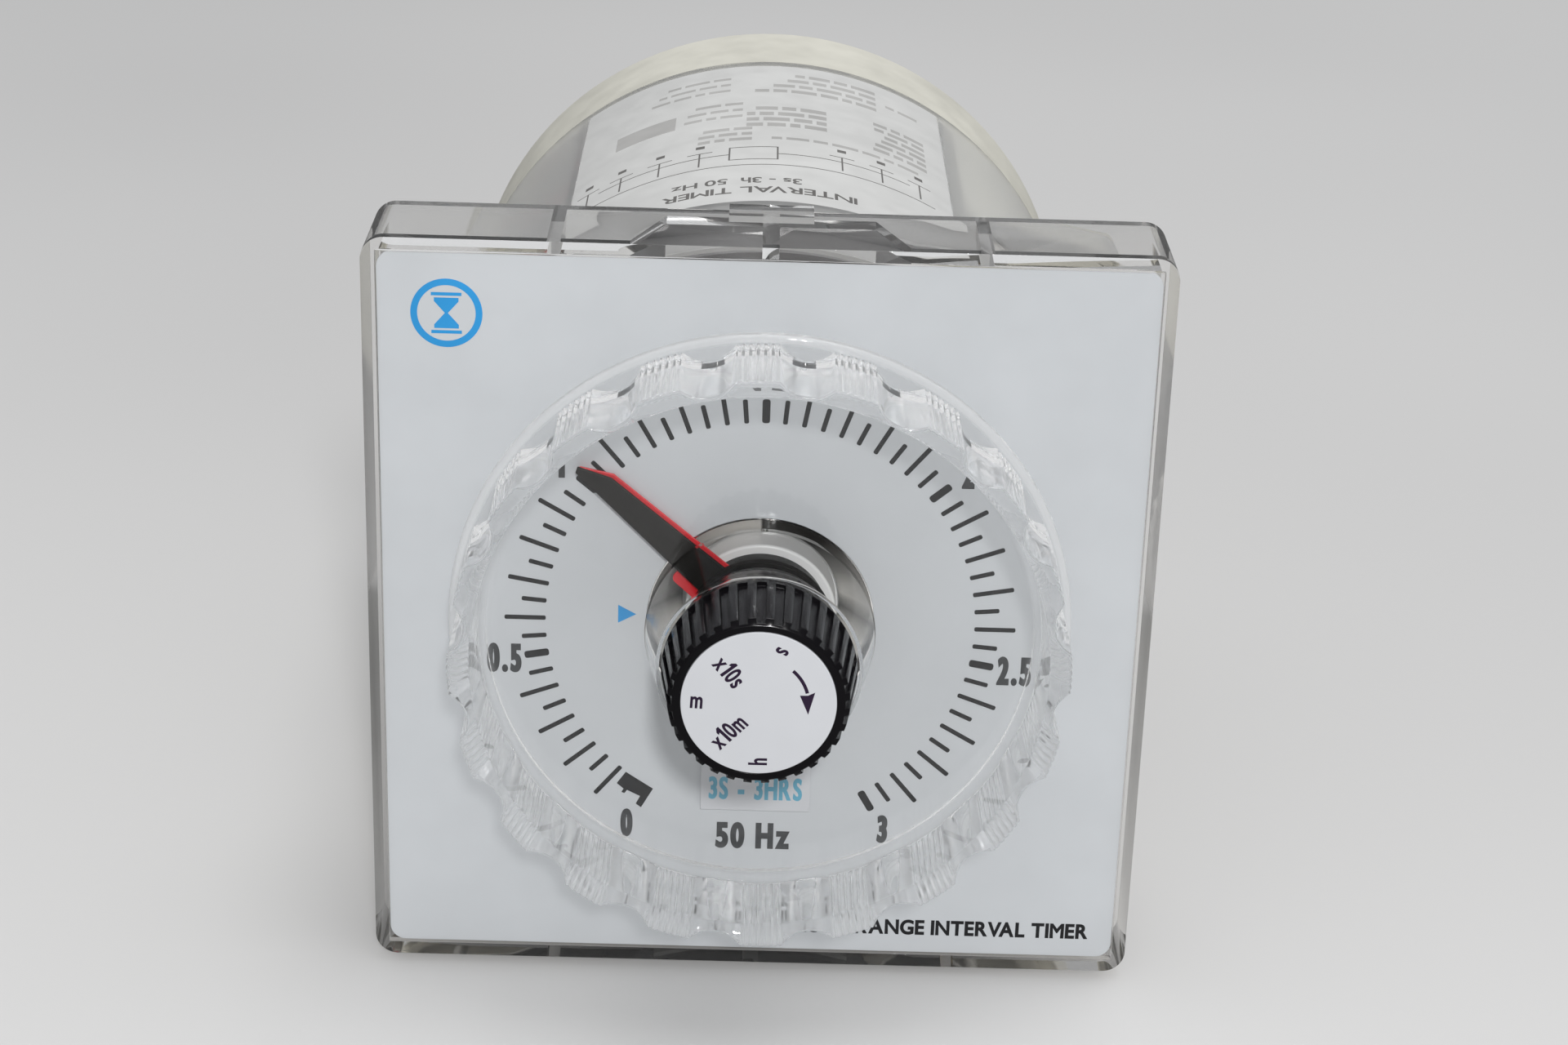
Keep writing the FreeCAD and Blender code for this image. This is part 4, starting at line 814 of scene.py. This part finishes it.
def make_scale():
    """Strokes every 5 degrees from -150 to +150, with a block at zero."""
    thin, thick = 0.58 * MM, 0.95 * MM
    inner, short, long = 26.25, 29.3, 31.3
    strokes = []
    for clock in range(-135, 151, 5):
        heavy = clock % 50 == 0
        outer = long if clock % 10 == 0 and not heavy else short
        width = thick if heavy else thin
        strokes.append(stroke(on_clock(inner, clock), on_clock(outer, clock), width))
    strokes.append(stroke(on_clock(inner, -140), on_clock(long, -140), thin))
    block = [on_clock(26.45, -142.1), on_clock(26.45, -151.0), on_clock(29.5, -151.0),
             on_clock(29.4, -149.4), on_clock(28.2, -149.2), on_clock(28.4, -145.5),
             on_clock(28.95, -145.5), on_clock(29.05, -144.7), on_clock(28.5, -144.6),
             on_clock(28.4, -142.3)]
    strokes.append(block)
    flat_prisms("scale_strokes", strokes, plate_face, "scale_plate", scale_ink)


def make_plate_print():
    """Numbers at their clock angles and radii, title, supply, range and the mark beside the knob."""
    numbers = {"0": (-150, 32.2), "0.5": (-99.8, 31.8), "1": (-50, 32), "1.5": (0, 32), "2": (50, 32),
               "2.5": (99.8, 31.9), "3": (150, 32.2)}
    for index, (words, (clock, radius)) in enumerate(numbers.items()):
        lettering("number_%d" % index, words, 4.1 * MM, on_clock(radius, clock), plate_face,
                  "scale_plate", number_ink, narrow=0.5, weight=0.045)
    lettering("supply_print", "50 Hz", 3.9 * MM, (-0.2 * MM, -29.3 * MM), plate_face, "scale_plate",
              number_ink, narrow=0.66, weight=0.045)
    lettering("title_print", "MULTI RANGE INTERVAL TIMER", 2.3 * MM, (24.2 * MM, -42.5 * MM), plate_face,
              "scale_plate", title_ink, narrow=0.88, weight=0.035)
    arrow = [(-17.4 * MM, 2.0 * MM), (-17.4 * MM, -0.4 * MM), (-15.2 * MM, 0.8 * MM)]
    flat_prisms("range_mark", [arrow], plate_face, "scale_plate", blue_ink)
    tab_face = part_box("range_plate")[0].y
    lettering("range_print", "3S - 3HRS", 3.3 * MM, (0, -22.4 * MM), tab_face, "range_plate",
              pale_blue_ink, narrow=0.56, weight=0.03)


def make_sign():
    """A ring with an hourglass in it, at the top left of the plate."""
    centre_x, centre_z = -38.0 * MM, 38.7 * MM
    ring_outer, ring_inner, sides = 4.25, 3.45, 72
    glass = ((1.45, 1.9), (-1.45, 1.9), (-1.45, 1.45), (-0.18, 0.0), (0.18, 0.0), (1.45, 1.45))
    bar = ((1.8, 2.55), (-1.8, 2.55), (-1.8, 2.15), (1.8, 2.15))
    middle = Vector((0, 0, 0))
    work = bmesh.new()
    loops = []
    for radius, way in ((ring_outer, 1), (ring_inner, -1)):
        turns = [math.radians(way * 360 * step / sides) for step in range(sides)]
        loops.append([Vector((radius * math.cos(turn), radius * math.sin(turn), 0)) for turn in turns])
    add_prism(work, loops, middle, MM)
    for way in (1, -1):
        for shape in (glass, bar):
            add_prism(work, [[Vector((way * x, way * y, 0)) for x, y in shape]], middle, MM)
    mesh = mesh_from("hourglass_sign", work)
    upright = Matrix.Rotation(math.radians(90), 4, "X")
    mesh.transform(Matrix.Translation((centre_x, plate_face - INK_DEPTH / 2, centre_z)) @ upright)
    new_piece("hourglass_sign", mesh, "scale_plate", blue_ink, stands_for=False)


def make_cap_print():
    """The ranges round the cap, at their radii and angles, and the arrow between them."""
    words = {"s": (7.2, 66), "x10s": (5.3, 130), "m": (7.2, 177), "x10m": (5.1, 226), "h": (7.5, 270)}
    for index, (text, (radius, turn)) in enumerate(words.items()):
        angle = math.radians(turn)
        centre = (radius * MM * math.cos(angle), radius * MM * math.sin(angle))
        lettering("cap_print_%d" % index, text, 2.35 * MM, centre, cap_face, "range_cap", cap_ink,
                  narrow=0.66, weight=0.02, turn=turn + 180)
    arc = [on_ccw(5.6, 48 - 3 * step) for step in range(12)]
    arc += [on_ccw(6.0, 48 - 3 * step) for step in range(11, -1, -1)]
    head = [on_ccw(4.9, 14), on_ccw(5.8, 12), on_ccw(6.7, 14), on_ccw(5.9, -12)]
    flat_prisms("cap_arrow", [arc, head], cap_face, "range_cap", cap_ink)


def on_ccw(radius, turn):
    """A point at an angle that counts counter-clockwise from the right."""
    return on_clock(radius, 90 - turn)


# ---------------------------------------------------------------- rating label

LABEL_SPAN = 68.0  # degrees of the case's circumference
LABEL_CLOCK = -2.0
LABEL_THICKNESS = 0.2 * MM


def wrapped(mesh):
    """Lays flat print on the label: its right runs to -X over the top and its top points forward."""
    for vert in mesh.vertices:
        x, y, z = vert.co
        clock = LABEL_CLOCK - math.degrees(x / label_radius)
        vert.co = clock_point(label_radius - INK_DEPTH / 2 + z, clock, label_low.y + y)
    mesh.update()
    return mesh


def bars_mesh(name, bars):
    """Bars given as (left, right, near, far) on the unrolled label, in millimetres."""
    work = bmesh.new()
    for left, right, near, far in bars:
        steps = max(1, int((right - left) / 1.2))
        rows = []
        for height in (-0.5, 0.5):
            for y in (near, far):
                xs = [left + (right - left) * step / steps for step in range(steps + 1)]
                rows.append([work.verts.new((x * MM, y * MM, height * INK_DEPTH)) for x in xs])
        below_near, below_far, above_near, above_far = rows
        for one, two in ((above_near, above_far), (below_far, below_near), (below_near, above_near),
                         (above_far, below_far)):
            for step in range(steps):
                work.faces.new((one[step], one[step + 1], two[step + 1], two[step]))
        for end in (0, -1):
            work.faces.new([row[end] for row in (below_near, below_far, above_far, above_near)])
    return mesh_from(name, work)


def text_rows(left, right, near, rows, pitch, height, ragged=0.0):
    """Rows of word-long bars that stand for small print; ragged rows end at different places."""
    bars = []
    for row in range(rows):
        y = near + pitch * row
        start, step = left, row
        end = right - ragged * ((row * 5) % 4) / 3
        while start < end - 0.8:
            stop = min(start + 1.4 + 0.55 * ((step * 7 + 3) % 5), end)
            bars.append((start, stop, y, y + height))
            start, step = stop + 0.6, step + 1
    return bars


def framed(left, right, near, far, line):
    """The four sides of a drawn box."""
    return [(left, right, near, near + line), (left, right, far - line, far),
            (left, left + line, near + line, far - line), (right - line, right, near + line, far - line)]


def make_label():
    """White label with a heading, a wiring diagram and rows of small print.

    Places on the unrolled label are in millimetres: x from its middle, y from its front edge.
    """
    edge = math.radians(LABEL_SPAN / 2) * label_radius
    paper_sheet = bars_mesh("label_sheet", [(-edge / MM, edge / MM, 0.0, (label_high.y - label_low.y) / MM)])
    for vert in paper_sheet.vertices:
        vert.co.z = -0.5 * INK_DEPTH if vert.co.z > 0 else -LABEL_THICKNESS
    new_piece("label_sheet", wrapped(paper_sheet), "rating_label", paper)
    headings = {"INTERVAL TIMER": (0.0, 4.9, 2.8, 0.95), "3s - 3h  50 Hz": (3.0, 9.1, 2.5, 0.95)}
    for index, (words, (x, y, height, narrow)) in enumerate(headings.items()):
        mesh = letter_mesh("label_heading_%d" % index, words, height * MM, narrow, 0.012)
        mesh.transform(Matrix.Translation((x * MM, 0, 0)) @ Matrix.Diagonal((1, -1, 1, 1)))
        mesh.flip_normals()
        mesh.transform(Matrix.Translation((0, y * MM, 0)))
        new_piece("label_heading_%d" % index, wrapped(mesh), "rating_label", label_ink, stands_for=False)
    line = 0.22
    lines = framed(-2.4, 4.2, 18.8, 24.8, line)
    for x in (-22.0, -16.5, -11.0, 8.0, 13.5, 19.0, 24.0):
        lines += [(x, x + line, 17.5, 23.5), (x - 1.6, x + 1.8, 23.6, 23.6 + line),
                  (x - 0.5, x + 0.7, 26.0, 27.2)]
    lines += [(-20.4, -2.4, 21.4, 21.4 + line), (4.2, 22.4, 21.4, 21.4 + line)]
    lines += [(-24.0, 24.0, 16.2, 16.2 + line)]
    new_piece("label_diagram", wrapped(bars_mesh("label_diagram", lines)), "rating_label", label_ink,
              stands_for=False)
    rows = text_rows(-22.0, -1.0, 28.6, 1, 2.0, 1.1) + text_rows(1.2, 8.5, 28.2, 3, 2.6, 1.3)
    rows += text_rows(-9.0, 2.0, 35.0, 4, 2.8, 1.7) + text_rows(2.6, 11.0, 40.0, 3, 3.2, 1.2, 2.0)
    rows += text_rows(-23.5, -15.5, 32.0, 6, 2.6, 1.4, 1.0) + text_rows(-16.5, 1.0, 53.0, 4, 2.9, 1.5, 5.0)
    rows += text_rows(4.5, 16.0, 54.0, 3, 3.2, 1.1, 3.0) + text_rows(-23.0, -18.0, 57.0, 1, 2.0, 1.2)
    new_piece("label_rows", wrapped(bars_mesh("label_rows", rows)), "rating_label", faint_ink,
              stands_for=False)
    block = bars_mesh("label_block", [(12.0, 20.8, 38.6, 45.0)])
    new_piece("label_block", wrapped(block), "rating_label", faint_ink, stands_for=False)


make_scale()
make_plate_print()
make_sign()
make_cap_print()
make_label()


# ---------------------------------------------------------------- floor, light and camera

def mirror_ray(tree):
    """One for a ray that a surface has mirrored outside the clear pieces, otherwise none."""
    path = tree.nodes.new("ShaderNodeLightPath")
    value = path.outputs["Is Reflection Ray"]
    for other in ("Is Diffuse Ray", "Transmission Depth"):
        less = tree.nodes.new("ShaderNodeMath")
        less.operation = "SUBTRACT"
        less.use_clamp = True
        tree.links.new(value, less.inputs[0])
        tree.links.new(path.outputs[other], less.inputs[1])
        value = less.outputs["Value"]
    return value


def add_floor():
    """One pale sheet under the lugs of the bezel and the rim of the base, slightly tilted.

    Glossy surfaces outside the clear pieces mirror it darker, as in a dim room.
    """
    rear_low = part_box("rear_base")[0]
    rear_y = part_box("rear_base")[1].y - 0.8 * MM
    lug_y = -2.4 * MM
    slope = (rear_low.z - cad_low.z) / (rear_y - lug_y)
    work = bmesh.new()
    columns, rows = 24, 90
    left, right, near, far = -1.6, 1.6, -0.7, 3.6
    grid = []
    for row in range(rows + 1):
        y = near + (far - near) * row / rows
        line = []
        for column in range(columns + 1):
            x = left + (right - left) * column / columns
            line.append(work.verts.new((x, y, cad_low.z + slope * (y - lug_y))))
        grid.append(line)
    for here, there in zip(grid, grid[1:]):
        for column in range(columns):
            work.faces.new([here[column], here[column + 1], there[column + 1], there[column]])
    mesh = mesh_from("floor", work)
    sheet = bpy.data.objects.new("floor", mesh)
    bpy.context.scene.collection.objects.link(sheet)
    for polygon in mesh.polygons:
        polygon.use_smooth = True
    material = shader("floor_paper", (0.62, 0.615, 0.61), 0.75)
    tint(material, 2.2, (0.58, 0.575, 0.572), (0.65, 0.645, 0.64), detail=2.0)
    relief(material, 700.0, 0.05 * MM, 0.2)
    tree = material.node_tree
    dim = add(material, "ShaderNodeBsdfDiffuse", Color=(0.1, 0.1, 0.1, 1.0))
    finished = mixed(material, mirror_ray(tree), tree.nodes["Principled BSDF"].outputs["BSDF"],
                     dim.outputs["BSDF"])
    link(material, finished, tree.nodes["Material Output"].inputs["Surface"])
    mesh.materials.append(material)


def add_light(name, place, aim, size, power):
    """A round soft lamp; size in metres, power in watts."""
    lamp = bpy.data.lights.new(name, "AREA")
    lamp.shape = "DISK"
    lamp.size = size
    lamp.energy = power
    holder = bpy.data.objects.new(name, lamp)
    bpy.context.scene.collection.objects.link(holder)
    holder.location = place
    holder.rotation_euler = (Vector(aim) - Vector(place)).to_track_quat("-Z", "Y").to_euler()


def add_world(strength, mirrored, refracted):
    """Pale surroundings, darker where a glossy surface mirrors them, lighter through clear plastic."""
    world = bpy.data.worlds.new("studio")
    bpy.context.scene.world = world
    world.use_nodes = True
    tree = world.node_tree
    background = tree.nodes["Background"]
    background.inputs["Color"].default_value = (0.96, 0.98, 1.0, 1.0)
    level = tree.nodes.new("ShaderNodeMapRange")
    level.inputs["To Min"].default_value = strength
    level.inputs["To Max"].default_value = mirrored
    tree.links.new(mirror_ray(tree), level.inputs["Value"])
    path = tree.nodes.new("ShaderNodeLightPath")
    inside = tree.nodes.new("ShaderNodeMapRange")
    inside.inputs["To Max"].default_value = refracted
    tree.links.new(path.outputs["Is Transmission Ray"], inside.inputs["Value"])
    tree.links.new(level.outputs["Result"], inside.inputs["To Min"])
    tree.links.new(inside.outputs["Result"], background.inputs["Strength"])


def add_camera():
    """A view from the front and above: tilt down, slight pan, slight roll, in radians."""
    tilt, pan, roll = 0.3963942, -0.0105700, 0.0276497
    place = Vector((-1.42, -358.66, 157.36)) * MM
    optics = bpy.data.cameras.new("camera")
    optics.lens = 70.83
    optics.sensor_width = 36.0
    optics.clip_start = 0.01
    optics.clip_end = 20.0
    camera = bpy.data.objects.new("camera", optics)
    bpy.context.scene.collection.objects.link(camera)
    axes = Matrix(((1, 0, 0), (0, 0, -1), (0, 1, 0)))
    turn = Matrix.Rotation(pan, 3, "Y") @ Matrix.Rotation(tilt, 3, "X") @ axes
    turn = Matrix.Rotation(roll, 3, "Z") @ turn
    facing = Matrix((turn[0], -turn[1], -turn[2])).transposed()
    camera.matrix_world = Matrix.Translation(place) @ facing.to_4x4()
    bpy.context.scene.camera = camera


add_floor()
add_light("key", (0.08, -0.78, 0.46), (0, 0, 0), 0.09, 4.3)
add_light("top", (0.2, 0.05, 1.5), (0, 0.15, 0), 1.0, 12.5)
add_world(0.4, 0.06, 0.8)
add_camera()
bpy.context.scene.view_settings.view_transform = "Standard"
